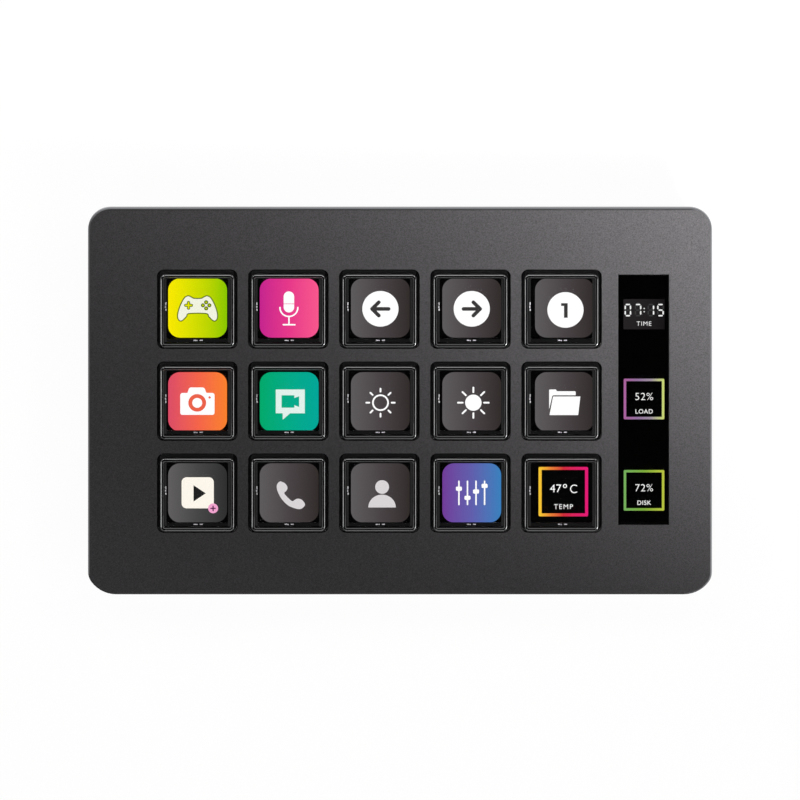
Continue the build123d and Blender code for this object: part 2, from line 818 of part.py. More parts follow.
case_screw_seat = base_bottom + case_screw_head_height + screw_head_gap
screw_sets = {
    "case_screws": (
        [(x, y, case_screw_seat) for x, y in case_screw_places],
        case_screw_diameter,
        tray_underside + case_screw_bite - case_screw_seat,
        case_screw_head_diameter,
        case_screw_head_height,
        1,
    ),
    "board_screws": (
        [(x, y, board_top) for x, y in board_post_places],
        board_screw_diameter,
        board_screw_length,
        board_screw_head_diameter,
        board_screw_head_height,
        -1,
    ),
}

for label, (seats, diameter, length, head_diameter, head_height, up) in screw_sets.items():
    # up is 1 where the shank points up from the head's seat, and -1 where it points down
    shank_align = (Align.CENTER, Align.CENTER, Align.MIN if up > 0 else Align.MAX)
    head_align = (Align.CENTER, Align.CENTER, Align.MAX if up > 0 else Align.MIN)
    with BuildPart() as screws:
        with Locations(seats):
            Cylinder(diameter / 2, length, align=shank_align)
            Cylinder(head_diameter / 2, head_height, align=head_align)
        with Locations([(x, y, z - up * head_height) for x, y, z in seats]):
            Box(
                screw_drive_span,
                screw_drive_width,
                screw_drive_depth,
                align=shank_align,
                mode=Mode.SUBTRACT,
            )
            Box(
                screw_drive_width,
                screw_drive_span,
                screw_drive_depth,
                align=shank_align,
                mode=Mode.SUBTRACT,
            )
    screws.part.label = label
    export_step(screws.part, f"parts/{label}.step")


# ---- Stand: a leg that folds into the pocket, with a heel that meets its ceiling when open ----

leg_half = stand_thickness / 2
leg_tip_y = stand_tip_y + stand_grip_length
well_pitch = (stand_width - 2 * stand_well_wall + stand_well_rib) / stand_well_count
well_front_y = leg_tip_y + stand_grip_tongue_length + stand_well_wall
well_rear_y = stand_hinge_y - stand_thickness - stand_well_wall

with BuildPart() as stand_leg:
    with BuildSketch(Plane.YZ.offset(-stand_width / 2)):
        with BuildLine():
            Polyline(
                (stand_hinge_y + leg_half, stand_hinge_z),
                (stand_hinge_y + stand_heel, stand_hinge_z),
                (stand_hinge_y + stand_heel, stand_hinge_z - leg_half),
                (leg_tip_y, stand_hinge_z - leg_half),
                (leg_tip_y, stand_hinge_z + leg_half),
                (stand_hinge_y, stand_hinge_z + leg_half),
            )
            CenterArc((stand_hinge_y, stand_hinge_z), leg_half, 0, 90)
        make_face()
    extrude(amount=stand_width)
    # Groove across the tip for the grip's tongue
    with BuildSketch(Plane.YZ.offset(-stand_width / 2)):
        with Locations((leg_tip_y + stand_grip_tongue_length / 2, stand_hinge_z)):
            Rectangle(stand_grip_tongue_length, stand_grip_tongue_thickness)
    extrude(amount=stand_width, mode=Mode.SUBTRACT)
    # Wells in the inner face, so that the moulding has even walls
    with BuildSketch(Plane.XY.offset(stand_hinge_z + leg_half)):
        with Locations((0, (well_front_y + well_rear_y) / 2)):
            with GridLocations(well_pitch, 1, stand_well_count, 1):
                RectangleRounded(
                    well_pitch - stand_well_rib, well_rear_y - well_front_y, stand_well_radius
                )
    extrude(amount=-stand_well_depth, mode=Mode.SUBTRACT)
    for side in (-1, 1):
        leg_side = Location((side * stand_width / 2, stand_hinge_y, stand_hinge_z), (0, 90, 0))
        with Locations(leg_side):
            Cylinder(
                stand_pin_diameter / 2 + stand_pin_running_gap,
                2 * (stand_pin_in_leg + stand_pocket_gap),
                mode=Mode.SUBTRACT,
            )

stand_leg.part.label = "stand_leg"
export_step(stand_leg.part, "parts/stand_leg.step")

with BuildPart() as stand_grip:
    with BuildSketch(Plane.YZ.offset(-stand_width / 2)):
        with Locations((leg_tip_y - stand_grip_length / 2, stand_hinge_z)):
            Rectangle(stand_grip_length, stand_thickness)
        with Locations((leg_tip_y + stand_grip_tongue_length / 2, stand_hinge_z)):
            Rectangle(stand_grip_tongue_length, stand_grip_tongue_thickness)
    extrude(amount=stand_width)
    fillet(stand_grip.faces().sort_by(Axis.Y)[0].edges().filter_by(Axis.X), stand_grip_radius)

stand_grip.part.label = "stand_grip"
export_step(stand_grip.part, "parts/stand_grip.step")

with BuildPart() as stand_pins:
    for side in (-1, 1):
        pin_inner_x = side * (stand_width / 2 - stand_pin_in_leg)
        pin_outer_x = side * (pocket_half_width + stand_pin_in_ear)
        pin_centre_x = (pin_inner_x + pin_outer_x) / 2
        with Locations(Location((pin_centre_x, stand_hinge_y, stand_hinge_z), (0, 90, 0))):
            Cylinder(stand_pin_diameter / 2, abs(pin_outer_x - pin_inner_x))

stand_pins.part.label = "stand_pins"
export_step(stand_pins.part, "parts/stand_pins.step")


# ---- Feet: rubber discs pressed into recesses near the corners ----

for label, (x, y) in foot_places.items():
    with BuildPart() as foot:
        with Locations((x, y, 0)):
            Cylinder(
                foot_diameter / 2,
                foot_height + foot_recess,
                align=(Align.CENTER, Align.CENTER, Align.MIN),
            )
        fillet(foot.edges().sort_by(Axis.Z)[0], foot_edge_fillet)
    foot.part.label = label
    export_step(foot.part, f"parts/{label}.step")
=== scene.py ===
import math

import bmesh
import bpy
from mathutils import Matrix, Vector


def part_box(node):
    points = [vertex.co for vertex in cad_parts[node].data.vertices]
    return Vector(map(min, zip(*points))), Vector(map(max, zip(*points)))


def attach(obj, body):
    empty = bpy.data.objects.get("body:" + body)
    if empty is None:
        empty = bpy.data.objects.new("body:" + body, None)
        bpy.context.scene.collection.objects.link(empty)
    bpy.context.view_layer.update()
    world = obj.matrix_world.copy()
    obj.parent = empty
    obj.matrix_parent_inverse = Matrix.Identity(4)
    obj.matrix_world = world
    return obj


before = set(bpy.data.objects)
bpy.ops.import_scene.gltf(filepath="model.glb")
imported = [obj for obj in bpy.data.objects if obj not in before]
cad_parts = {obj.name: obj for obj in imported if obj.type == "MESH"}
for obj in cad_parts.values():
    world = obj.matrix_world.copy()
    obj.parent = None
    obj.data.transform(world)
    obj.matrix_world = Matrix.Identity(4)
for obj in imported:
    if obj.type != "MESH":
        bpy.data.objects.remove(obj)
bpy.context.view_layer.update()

mm = 0.001


# ---- Camera ----
# A long lens 600 mm above the keypad, leaning 10 degrees to the rear, so that the plate's edges
# stay parallel. The picture is 224.43 mm wide at the object.

camera_lean = math.radians(10)
camera_distance = 600 * mm
picture_width = 224.43 * mm
picture_drop = 3.864 * mm  # from the origin down to the middle of the picture

camera_data = bpy.data.cameras.new("camera")
camera_data.type = "ORTHO"
camera_data.ortho_scale = picture_width
camera_data.clip_start = 10 * mm
camera_data.clip_end = 10
camera = bpy.data.objects.new("camera", camera_data)
bpy.context.scene.collection.objects.link(camera)
camera.rotation_euler = (-camera_lean, 0, 0)
camera.location = camera.rotation_euler.to_matrix() @ Vector((0, -picture_drop, camera_distance))
bpy.context.scene.camera = camera
bpy.context.scene.view_settings.view_transform = "Standard"


# ---- Studio ----
# A white paper floor, a long box whose light fades over the plate from its rear right corner, four
# fill boxes, a ring of boxes that draws lines of light along the keys' rims, and a black card
# overhead, which the polished faces mirror.


def linear(sheet_colour):
    """An sRGB hex value as the linear colour that the shaders take."""
    channels = [int(sheet_colour[place : place + 2], 16) / 255 for place in (1, 3, 5)]
    return [c / 12.92 if c <= 0.04045 else ((c + 0.055) / 1.055) ** 2.4 for c in channels] + [1]


def add_node(tree, kind, inputs=(), **settings):
    """Adds a node, sets its properties, and sets its inputs or links them.

    A node given as an input stands for its first output.
    """
    node = tree.nodes.new(kind)
    for name, value in settings.items():
        setattr(node, name, value)
    for socket, value in dict(inputs).items():
        if isinstance(value, bpy.types.Node):
            value = value.outputs[0]
        if isinstance(value, bpy.types.NodeSocket):
            tree.links.new(value, node.inputs[socket])
        else:
            node.inputs[socket].default_value = value
    return node


def stage_sheet(name, middle, half_width, half_depth, material):
    """A flat sheet of the studio, which isn't part of the object."""
    x, y, z = middle
    corners = [
        (x + a * half_width, y + b * half_depth, z) for a, b in ((-1, -1), (1, -1), (1, 1), (-1, 1))
    ]
    mesh = bpy.data.meshes.new(name)
    mesh.from_pydata(corners, [], [(0, 1, 2, 3)])
    mesh.materials.append(material)
    sheet = bpy.data.objects.new(name, mesh)
    bpy.context.scene.collection.objects.link(sheet)
    return sheet


# White paper: the eye, gloss and glass see it glow white, and it still takes a faint shadow.
# From below it is clear, so that it doesn't hide the underside.
paper_glow = 0.96  # the rest of it is matt
floor_half = 3.0
paper = bpy.data.materials.new("white_paper")
paper.use_nodes = True
tree = paper.node_tree
tree.nodes.clear()
rays = add_node(tree, "ShaderNodeLightPath")
seen = add_node(
    tree, "ShaderNodeMath", {0: rays.outputs["Is Camera Ray"], 1: rays.outputs["Is Glossy Ray"]},
    operation="MAXIMUM",
)
seen = add_node(
    tree, "ShaderNodeMath", {0: seen, 1: rays.outputs["Is Transmission Ray"]}, operation="MAXIMUM"
)
glow_share = add_node(tree, "ShaderNodeMath", {0: seen, 1: paper_glow}, operation="MULTIPLY")
matt = add_node(tree, "ShaderNodeBsdfDiffuse", {"Color": linear("#f4f4f4")})
glow = add_node(tree, "ShaderNodeEmission", {"Color": linear("#ffffff"), "Strength": 1.0})
top_side = add_node(tree, "ShaderNodeMixShader", {0: glow_share, 1: matt, 2: glow})
from_below = add_node(tree, "ShaderNodeNewGeometry").outputs["Backfacing"]
clear = add_node(tree, "ShaderNodeBsdfTransparent")
both_sides = add_node(tree, "ShaderNodeMixShader", {0: from_below, 1: top_side, 2: clear})
add_node(tree, "ShaderNodeOutputMaterial", {"Surface": both_sides})
stage_sheet("paper_floor", (0, 0, 0), floor_half, floor_half, paper)

# Black felt on card
felt = bpy.data.materials.new("black_felt")
felt.use_nodes = True
felt_inputs = felt.node_tree.nodes["Principled BSDF"].inputs
felt_inputs["Base Color"].default_value = linear("#040404")
felt_inputs["Roughness"].default_value = 1.0
card_height = 0.80
card_half_width, card_half_depth = 0.13, 0.10
card_middle = (8 * mm, -card_height * math.tan(camera_lean), card_height)
card = stage_sheet("black_card", card_middle, card_half_width, card_half_depth, felt)
card.visible_camera = False

# The studio's walls are pale up to 20 degrees above the floor, and its ceiling is dark. The eye
# alone sees them all white.
world = bpy.data.worlds.new("studio")
bpy.context.scene.world = world
world.use_nodes = True
tree = world.node_tree
wall_top, ceiling_start = math.sin(math.radians(20)), math.sin(math.radians(30))
wall_level, ceiling_level = 0.8, 0.05
direction = add_node(tree, "ShaderNodeTexCoord").outputs["Generated"]
height = add_node(tree, "ShaderNodeSeparateXYZ", {0: direction}).outputs["Z"]
room = add_node(
    tree, "ShaderNodeMapRange",
    {
        "Value": height, "From Min": wall_top, "From Max": ceiling_start, "To Min": wall_level,
        "To Max": ceiling_level,
    },
)
seen = add_node(tree, "ShaderNodeLightPath").outputs["Is Camera Ray"]
level = add_node(tree, "ShaderNodeMath", {0: room, 1: seen}, operation="MAXIMUM")
backdrop = tree.nodes["Background"]
backdrop.inputs["Color"].default_value = linear("#ffffff")
tree.links.new(level.outputs[0], backdrop.inputs["Strength"])

plate_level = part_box("face_plate")[1].z


def soft_box(name, place, aim, width, height, radiance, spread=180):
    """A soft box that faces the aim, its height along Y. The camera doesn't see it."""
    data = bpy.data.lights.new(name, "AREA")
    data.shape = "RECTANGLE"
    data.size = width
    data.size_y = height
    data.energy = radiance * math.pi * width * height
    data.spread = math.radians(spread)
    box = bpy.data.objects.new(name, data)
    bpy.context.scene.collection.objects.link(box)
    back = (Vector(place) - Vector(aim)).normalized()
    side = Vector((0, 1, 0)).cross(back).normalized()
    facing = Matrix((side, back.cross(side), back)).transposed().to_4x4()
    box.matrix_world = Matrix.Translation(place) @ facing
    box.visible_camera = False
    return box


def all_but(name, *excluded):
    """A collection for light linking, which stands for everything but these CAD nodes."""
    the_rest = bpy.data.collections.new(name)
    for node_name in excluded:
        the_rest.objects.link(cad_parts[node_name])
    for member in the_rest.collection_objects:
        member.light_linking.link_state = "EXCLUDE"
    return the_rest


# The keys throw no shadow from the boxes that shade the plate. The long box isn't let into the
# lenses either, two of which it would otherwise turn white when seen from behind.
key_frames = [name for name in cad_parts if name.startswith("key_frame_")]
key_lenses = [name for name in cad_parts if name.startswith("key_lens_")]
past_keys = all_but("keys_block_no_light", *key_frames, *key_lenses)
shading_place = (0.273, -0.128, 0.425)
shading_aim = (0.123, 0.496, plate_level)
shading_width, shading_length = 0.056, 0.214
shading_radiance, shading_spread = 97, 80
box = soft_box(
    "shading_box", shading_place, shading_aim, shading_width, shading_length, shading_radiance,
    shading_spread,
)
box.light_linking.blocker_collection = past_keys
box.light_linking.receiver_collection = all_but("flagged_off_lenses", *key_lenses)

# The fill boxes stand round the direction that the plate mirrors into the lens, and light the
# plate alone
plate_alone = bpy.data.collections.new("lit_by_fill")
plate_alone.objects.link(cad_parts["face_plate"])
lit_middle = Vector((0, 0, plate_level))
mirrored = Vector((0, -math.sin(camera_lean), math.cos(camera_lean)))
rightwards = Vector((1, 0, 0))
rearwards = mirrored.cross(rightwards)
fill_distance, fill_size, fill_radiance = 0.7, 0.12, 4.8
fill_aside = math.radians(25)
for name, turn in (("rear_right", 45), ("rear_left", 135), ("front_left", 225), ("front_right", 315)):
    turned = math.radians(turn)
    aside = math.cos(turned) * rightwards + math.sin(turned) * rearwards
    towards = math.cos(fill_aside) * mirrored + math.sin(fill_aside) * aside
    place = lit_middle + fill_distance * towards
    box = soft_box(f"fill_{name}", place, lit_middle, fill_size, fill_size, fill_radiance)
    box.light_linking.receiver_collection = plate_alone
    box.light_linking.blocker_collection = past_keys

# The ring is flagged off the plate, whose shading it would flatten
off_plate = all_but("flagged_off_plate", "face_plate")
ring_radius = 0.5
for name, azimuth, elevation, width, height, radiance in (
    ("ring_left", 199.5, 58.5, 0.16, 0.12, 7.0),
    ("ring_right", -19.5, 58.5, 0.16, 0.12, 5.6),
    ("ring_rear", 90, 60, 0.20, 0.16, 5.4),
    ("ring_front", 270, 60, 0.20, 0.10, 2.4),
    ("ring_rear_left", 135, 58, 0.10, 0.10, 13.0),
    ("ring_rear_right", 45, 58, 0.10, 0.10, 13.0),
    ("ring_front_right", -45, 58, 0.10, 0.10, 13.0),
):
    turned, raised = math.radians(azimuth), math.radians(elevation)
    level = ring_radius * math.cos(raised)
    place = lit_middle + Vector(
        (level * math.cos(turned), level * math.sin(turned), ring_radius * math.sin(raised))
    )
    box = soft_box(name, place, lit_middle, width, height, radiance)
    box.light_linking.receiver_collection = off_plate


# ---- Base shell and stand leg ----
# Two mouldings in black ABS. The leg folds into the pocket under the base, and both come from
# spark-eroded tools.


def new_finish(name, **sockets):
    """A material: its principled shader with these constants, its tree and its coordinates."""
    material = bpy.data.materials.new(name)
    material.use_nodes = True
    tree = material.node_tree
    shader = tree.nodes["Principled BSDF"]
    for socket, value in sockets.items():
        shader.inputs[socket.replace("_", " ")].default_value = value
    place = add_node(tree, "ShaderNodeTexCoord").outputs["Object"]
    return material, tree, shader, place


def follow(tree, shader, pattern, colours, roughness, depth=0.0):
    """Lets a pattern that runs from 0 to 1 set a surface's colour, roughness and height."""
    tint = add_node(
        tree, "ShaderNodeMixRGB", {0: pattern, 1: linear(colours[0]), 2: linear(colours[1])}
    )
    tree.links.new(tint.outputs[0], shader.inputs["Base Color"])
    polish = add_node(
        tree, "ShaderNodeMapRange", {"Value": pattern, "To Min": roughness[0], "To Max": roughness[1]}
    )
    tree.links.new(polish.outputs[0], shader.inputs["Roughness"])
    if depth:
        relief = add_node(tree, "ShaderNodeBump", {"Height": pattern, "Distance": depth})
        tree.links.new(relief.outputs[0], shader.inputs["Normal"])


def grained(name, colours, roughness, grain, depth, detail=2.0, stretch=(1, 1, 1), **sockets):
    """A material whose whole surface follows one grain, of a size in metres."""
    material, tree, shader, place = new_finish(name, **sockets)
    place = add_node(tree, "ShaderNodeMapping", {"Vector": place, "Scale": stretch})
    noise = add_node(
        tree, "ShaderNodeTexNoise", {"Vector": place, "Scale": 1 / grain, "Detail": detail}
    )
    low, high = 0.3, 0.7  # nearly all of the noise lies between these
    even = add_node(tree, "ShaderNodeMapRange", {"Value": noise, "From Min": low, "From Max": high})
    follow(tree, shader, even, colours, roughness, depth)
    return material


def finish(material, *nodes):
    """Gives CAD nodes a material."""
    for name in nodes:
        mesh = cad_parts[name].data
        mesh.materials.clear()
        mesh.materials.append(material)


# Spark-eroded ABS: fine pebbles scatter the light, so the black looks soft. The tool's pits are
# about 0.1 mm wide, and are drawn at 0.35 mm so that they show.
spark_pit = 0.35 * mm
eroded_abs = grained(
    "spark_eroded_abs", ("#161618", "#202022"), (0.48, 0.62), spark_pit, 0.02 * mm, 3.0, IOR=1.54
)
finish(eroded_abs, "base_shell", "stand_leg")


# ---- Feet and stand grip ----
# Moulded rubber, pressed into recesses of the base and of the leg's tip.

# Rubber: dull, and a little dusty in its pores
rubber = grained(
    "moulded_rubber", ("#0f0f0f", "#242322"), (0.75, 0.9), 0.8 * mm, 0.02 * mm, 6.0, IOR=1.52
)
finish(rubber, "stand_grip", *[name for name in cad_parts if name.startswith("foot_")])


# ---- Stand pins ----
# Two pins of turned steel, pressed into the base, that the leg swings on.

# Turned steel: bright, with fine rings round the pin, across its length
turned_steel = grained(
    "turned_steel", ("#b4b5b8", "#c0c1c4"), (0.2, 0.36), 3 * mm, 0.003 * mm, 2.0, (30, 1, 1),
    Metallic=1.0,
)
finish(turned_steel, "stand_pins")


# ---- Cable socket ----
# A shell folded from steel strip and nickelled, round a tongue of black liquid crystal polymer
# that carries gold contacts on both faces.

# Nickelled steel: warm and bright, with faint lines along the strip
nickelled_steel = grained(
    "nickelled_steel", ("#bdb9b0", "#cbc7be"), (0.15, 0.3), 3 * mm, 0.002 * mm, 2.0, (1, 20, 20),
    Metallic=1.0,
)
finish(nickelled_steel, "socket_shell")

# Liquid crystal polymer with gold leads: black and dull between bright yellow strips
contact_pitch = 0.5 * mm
contact_width = 0.25 * mm
level_facing = 0.9  # a face is level where its normal's height is more than this
tongue_polymer, tree, shader, place = new_finish("tongue_polymer", IOR=1.6)
place_parts = add_node(tree, "ShaderNodeSeparateXYZ", {0: place})
within = add_node(
    tree, "ShaderNodeMath", {0: place_parts.outputs["X"], 1: contact_pitch / 2}, operation="PINGPONG"
)
strip = add_node(tree, "ShaderNodeMath", {0: within, 1: contact_width / 2}, operation="LESS_THAN")
facing = add_node(tree, "ShaderNodeNewGeometry").outputs["True Normal"]
facing_parts = add_node(tree, "ShaderNodeSeparateXYZ", {0: facing})
upright = add_node(tree, "ShaderNodeMath", {0: facing_parts.outputs["Z"]}, operation="ABSOLUTE")
broad_face = add_node(tree, "ShaderNodeMath", {0: upright, 1: level_facing}, operation="GREATER_THAN")
gold = add_node(tree, "ShaderNodeMath", {0: strip, 1: broad_face}, operation="MULTIPLY")
follow(tree, shader, gold, ("#161617", "#e2b457"), (0.5, 0.22))
tree.links.new(gold.outputs[0], shader.inputs["Metallic"])
finish(tongue_polymer, "socket_tongue")


# ---- Main board and contact board ----
# Glass-fibre laminate with copper tracks under a solder mask, which is green on the main board
# and black on the contact board.

# Solder mask: glossy, with the tracks under it as paler raised lines
track_field = 2.4 * mm
track_depth = 0.035 * mm
track_start, track_end = 0.38, 0.42  # shares of a field, from its middle
for name, colours, node in (
    ("green_solder_mask", ("#0d3a22", "#185535"), "main_board"),
    ("black_solder_mask", ("#0a0d0c", "#181d1b"), "contact_board"),
):
    solder_mask, tree, shader, place = new_finish(name, IOR=1.5)
    fields = add_node(
        tree, "ShaderNodeTexVoronoi", {"Vector": place, "Scale": 1 / track_field, "Randomness": 0.9},
        distance="CHEBYCHEV",
    )
    track = add_node(
        tree, "ShaderNodeMapRange", {"Value": fields, "From Min": track_start, "From Max": track_end}
    )
    follow(tree, shader, track, colours, (0.45, 0.35), track_depth)
    finish(solder_mask, node)


# ---- Board components ----
# Chips in black epoxy and ribbon connectors in ivory nylon, soldered to the main board.

# Epoxy: dull and speckled with its filler. Nylon: waxy.
moulded_epoxy = grained(
    "moulded_epoxy", ("#151618", "#2b2c2e"), (0.5, 0.7), 0.25 * mm, 0.005 * mm, 2.0, IOR=1.55
)
finish(moulded_epoxy, "board_chips")
ivory_nylon = grained(
    "ivory_nylon", ("#ddd5c0", "#cfc6ae"), (0.38, 0.5), 1.5 * mm, 0.003 * mm, 2.0, IOR=1.53
)
finish(ivory_nylon, "ribbon_connectors")


# ---- Ribbons ----
# Two flat cables that fold from board to board: copper lines between films of polyimide.

# Polyimide: clear amber, darker over each copper line
ribbon_pitch = 1.0 * mm
line_half = 0.3 * mm
polyimide, tree, shader, place = new_finish("polyimide_film", IOR=1.7)
place_parts = add_node(tree, "ShaderNodeSeparateXYZ", {0: place})
within = add_node(
    tree, "ShaderNodeMath", {0: place_parts.outputs["X"], 1: ribbon_pitch / 2}, operation="PINGPONG"
)
copper = add_node(tree, "ShaderNodeMath", {0: within, 1: line_half}, operation="LESS_THAN")
follow(tree, shader, copper, ("#b87d24", "#8a4d12"), (0.3, 0.25))
finish(polyimide, "display_ribbon", "matrix_ribbon")


# ---- Screws ----
# Cold-formed steel: six blacked ones hold the case, and four zinc-plated ones the main board.

# Black oxide is dull and nearly even, and bright zinc is bluish, and both are scuffed
black_oxide = grained(
    "black_oxide_steel", ("#262627", "#303031"), (0.3, 0.5), 0.4 * mm, 0.004 * mm, 4.0, Metallic=1.0
)
finish(black_oxide, "case_screws")
bright_zinc = grained(
    "bright_zinc", ("#bec3c9", "#cdd0d4"), (0.2, 0.4), 0.4 * mm, 0.004 * mm, 4.0, Metallic=1.0
)
finish(bright_zinc, "board_screws")


# ---- Panel bracket and panel tray ----
# Sheet steel, zinc-dipped and then folded. The bracket is clamped between the bosses, and the
# tray holds the panel's layers.

# Dipped zinc: grey metal with crystals a few millimetres wide, each of its own shade
crystal_width = 5 * mm
dipped_zinc, tree, shader, place = new_finish("dipped_zinc", Metallic=1.0)
crystals = add_node(tree, "ShaderNodeTexVoronoi", {"Vector": place, "Scale": 1 / crystal_width})
shade = add_node(tree, "ShaderNodeRGBToBW", {0: crystals.outputs["Color"]})
follow(tree, shader, shade, ("#9a9ea1", "#babec1"), (0.32, 0.5))
finish(dipped_zinc, "panel_bracket", "panel_tray")


# ---- Backlight ----
# An acrylic light guide under a milky film, printed with dots that send the light up.

# Diffuser film: soft white, the dots a little whiter than the rest
dot_pitch = 0.9 * mm
dot_edge, dot_rim = 0.2, 0.25  # shares of the pitch, from a dot's middle
diffuser, tree, shader, place = new_finish("diffuser_film", IOR=1.49)
dots = add_node(
    tree, "ShaderNodeTexVoronoi", {"Vector": place, "Scale": 1 / dot_pitch, "Randomness": 0.0}
)
off_dot = add_node(
    tree, "ShaderNodeMapRange", {"Value": dots, "From Min": dot_edge, "From Max": dot_rim}
)
follow(tree, shader, off_dot, ("#f6f6f3", "#e2e2de"), (0.5, 0.5))
finish(diffuser, "backlight")


# ---- Display glass ----
# The panel's front glass, ground and polished, and black wherever no pixel is lit.

# Polished glass: a sharp mirror on black, with a faint wave
panel_glass = grained(
    "panel_glass", ("#010101", "#020203"), (0.02, 0.04), 6 * mm, 0.0005 * mm, 1.0, IOR=1.52
)
finish(panel_glass, "display_glass")


# ---- Key pictures ----
# One picture under each key lens, drawn by the panel's own pixels: a rounded tile that shifts
# from one colour to another, with a sign on it in flat layers.

panel_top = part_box("display_glass")[1].z
picture_skin = 0.012 * mm
layer_step = 0.02 * mm
pixel_pitch = 0.19 * mm
pixel_gap = pixel_pitch / 8
gap_level, pixel_level = 0.85, 1.05  # of the picture's own brightness
lens_loss = 1 / 0.92  # a lens reflects 8 percent at its two faces


def lit_pixels(name, *colours, strength=lens_loss):
    """Panel pixels: evenly spaced colours that blend from the picture's left to its right."""
    material = bpy.data.materials.new(name)
    material.use_nodes = True
    tree = material.node_tree
    tree.nodes.clear()
    coordinates = add_node(tree, "ShaderNodeTexCoord")
    across = add_node(tree, "ShaderNodeSeparateXYZ", {0: coordinates.outputs["Generated"]})
    ramp = add_node(tree, "ShaderNodeValToRGB", {0: across})
    stops = ramp.color_ramp.elements
    stops[0].color = linear(colours[0])
    stops[1].color = linear(colours[-1])
    for step, colour in enumerate(colours[1:-1], start=1):
        stops.new(step / (len(colours) - 1)).color = linear(colour)
    place = add_node(tree, "ShaderNodeSeparateXYZ", {0: coordinates.outputs["Object"]})
    bars = []
    for axis in "XY":
        within = add_node(
            tree, "ShaderNodeMath", {0: place.outputs[axis], 1: pixel_pitch / 2}, operation="PINGPONG"
        )
        bars.append(add_node(tree, "ShaderNodeMapRange", {"Value": within, "From Max": pixel_gap}))
    pixel = add_node(tree, "ShaderNodeMath", {0: bars[0], 1: bars[1]}, operation="MULTIPLY")
    level = add_node(
        tree, "ShaderNodeMapRange",
        {"Value": pixel, "To Min": gap_level * strength, "To Max": pixel_level * strength},
    )
    glow = add_node(tree, "ShaderNodeEmission", {"Color": ramp, "Strength": level})
    add_node(tree, "ShaderNodeOutputMaterial", {"Surface": glow})
    return material


def disc(x, y, radius, points=48):
    """A round shape. Every shape here is a list of closed loops, the inner ones its holes."""
    steps = [math.tau * step / points for step in range(points)]
    return [[(x + radius * math.cos(a), y + radius * math.sin(a)) for a in steps]]


def ring(x, y, outer, inner):
    """A round shape with a round hole."""
    return disc(x, y, outer) + disc(x, y, inner)


def plaque(left, low, right, high, radius):
    """A rectangle with rounded corners."""
    corners = (
        (right - radius, high - radius, 0),
        (left + radius, high - radius, 90),
        (left + radius, low + radius, 180),
        (right - radius, low + radius, 270),
    )
    corner_steps = 8
    loop = []
    for x, y, start in corners:
        for step in range(corner_steps + 1):
            angle = math.radians(start + 90 * step / corner_steps)
            loop.append((x + radius * math.cos(angle), y + radius * math.sin(angle)))
    return [loop]


def frame_line(left, low, right, high, radius, line):
    """A line of even width round a rectangle with rounded corners."""
    least_radius = 0.05
    inner_radius = max(radius - line, least_radius)
    inner = plaque(left + line, low + line, right - line, high - line, inner_radius)
    return plaque(left, low, right, high, radius) + inner


def stroke(start, end, width):
    """A straight line with round ends."""
    (x0, y0), (x1, y1) = start, end
    heading = math.atan2(y1 - y0, x1 - x0)
    end_steps = 12
    loop = []
    for x, y, turned in ((x1, y1, -90), (x0, y0, 90)):
        for step in range(end_steps + 1):
            angle = heading + math.radians(turned + 180 * step / end_steps)
            loop.append((x + width / 2 * math.cos(angle), y + width / 2 * math.sin(angle)))
    return [loop]


def bow(x, y, radius, width, start, end):
    """An arc line with square ends, from one angle to another in degrees."""
    steps = 32
    angles = [math.radians(start + (end - start) * step / steps) for step in range(steps + 1)]
    edge = [(radius + width / 2, a) for a in angles] + [(radius - width / 2, a) for a in angles[::-1]]
    return [[(x + r * math.cos(a), y + r * math.sin(a)) for r, a in edge]]


def smooth(points, steps=8):
    """A closed curve through the points."""
    loop = []
    count = len(points)
    for number in range(count):
        before, here, after, beyond = (points[(number + k) % count] for k in (-1, 0, 1, 2))
        for step in range(steps):
            t = step / steps
            point = []
            for k in (0, 1):
                slope = after[k] - before[k]
                bend = 2 * before[k] - 5 * here[k] + 4 * after[k] - beyond[k]
                twist = 3 * here[k] - before[k] - 3 * after[k] + beyond[k]
                point.append(0.5 * (2 * here[k] + slope * t + bend * t**2 + twist * t**3))
            loop.append(tuple(point))
    return loop


def grown(loop, amount):
    """A closed loop, given anticlockwise, moved outwards."""
    moved = []
    for number, (x, y) in enumerate(loop):
        (x0, y0), (x1, y1) = loop[number - 1], loop[(number + 1) % len(loop)]
        length = math.hypot(x1 - x0, y1 - y0)
        moved.append((x + amount * (y1 - y0) / length, y - amount * (x1 - x0) / length))
    return moved


def pour(sheet, curve, x, y, layer, paint):
    """Turns a flat curve, drawn in millimetres, into a thin closed part of a picture."""
    curve.extrude = picture_skin / mm / 2
    holder = bpy.data.objects.new("drawing", curve)
    mesh = bpy.data.meshes.new_from_object(holder)
    height = panel_top + picture_skin / 2 + layer * layer_step
    mesh.transform(Matrix.Translation((x, y, height)) @ Matrix.Scale(mm, 4))
    mesh.polygons.foreach_set("material_index", [paint] * len(mesh.polygons))
    sheet.from_mesh(mesh)
    bpy.data.objects.remove(holder)
    bpy.data.curves.remove(curve)
    bpy.data.meshes.remove(mesh)


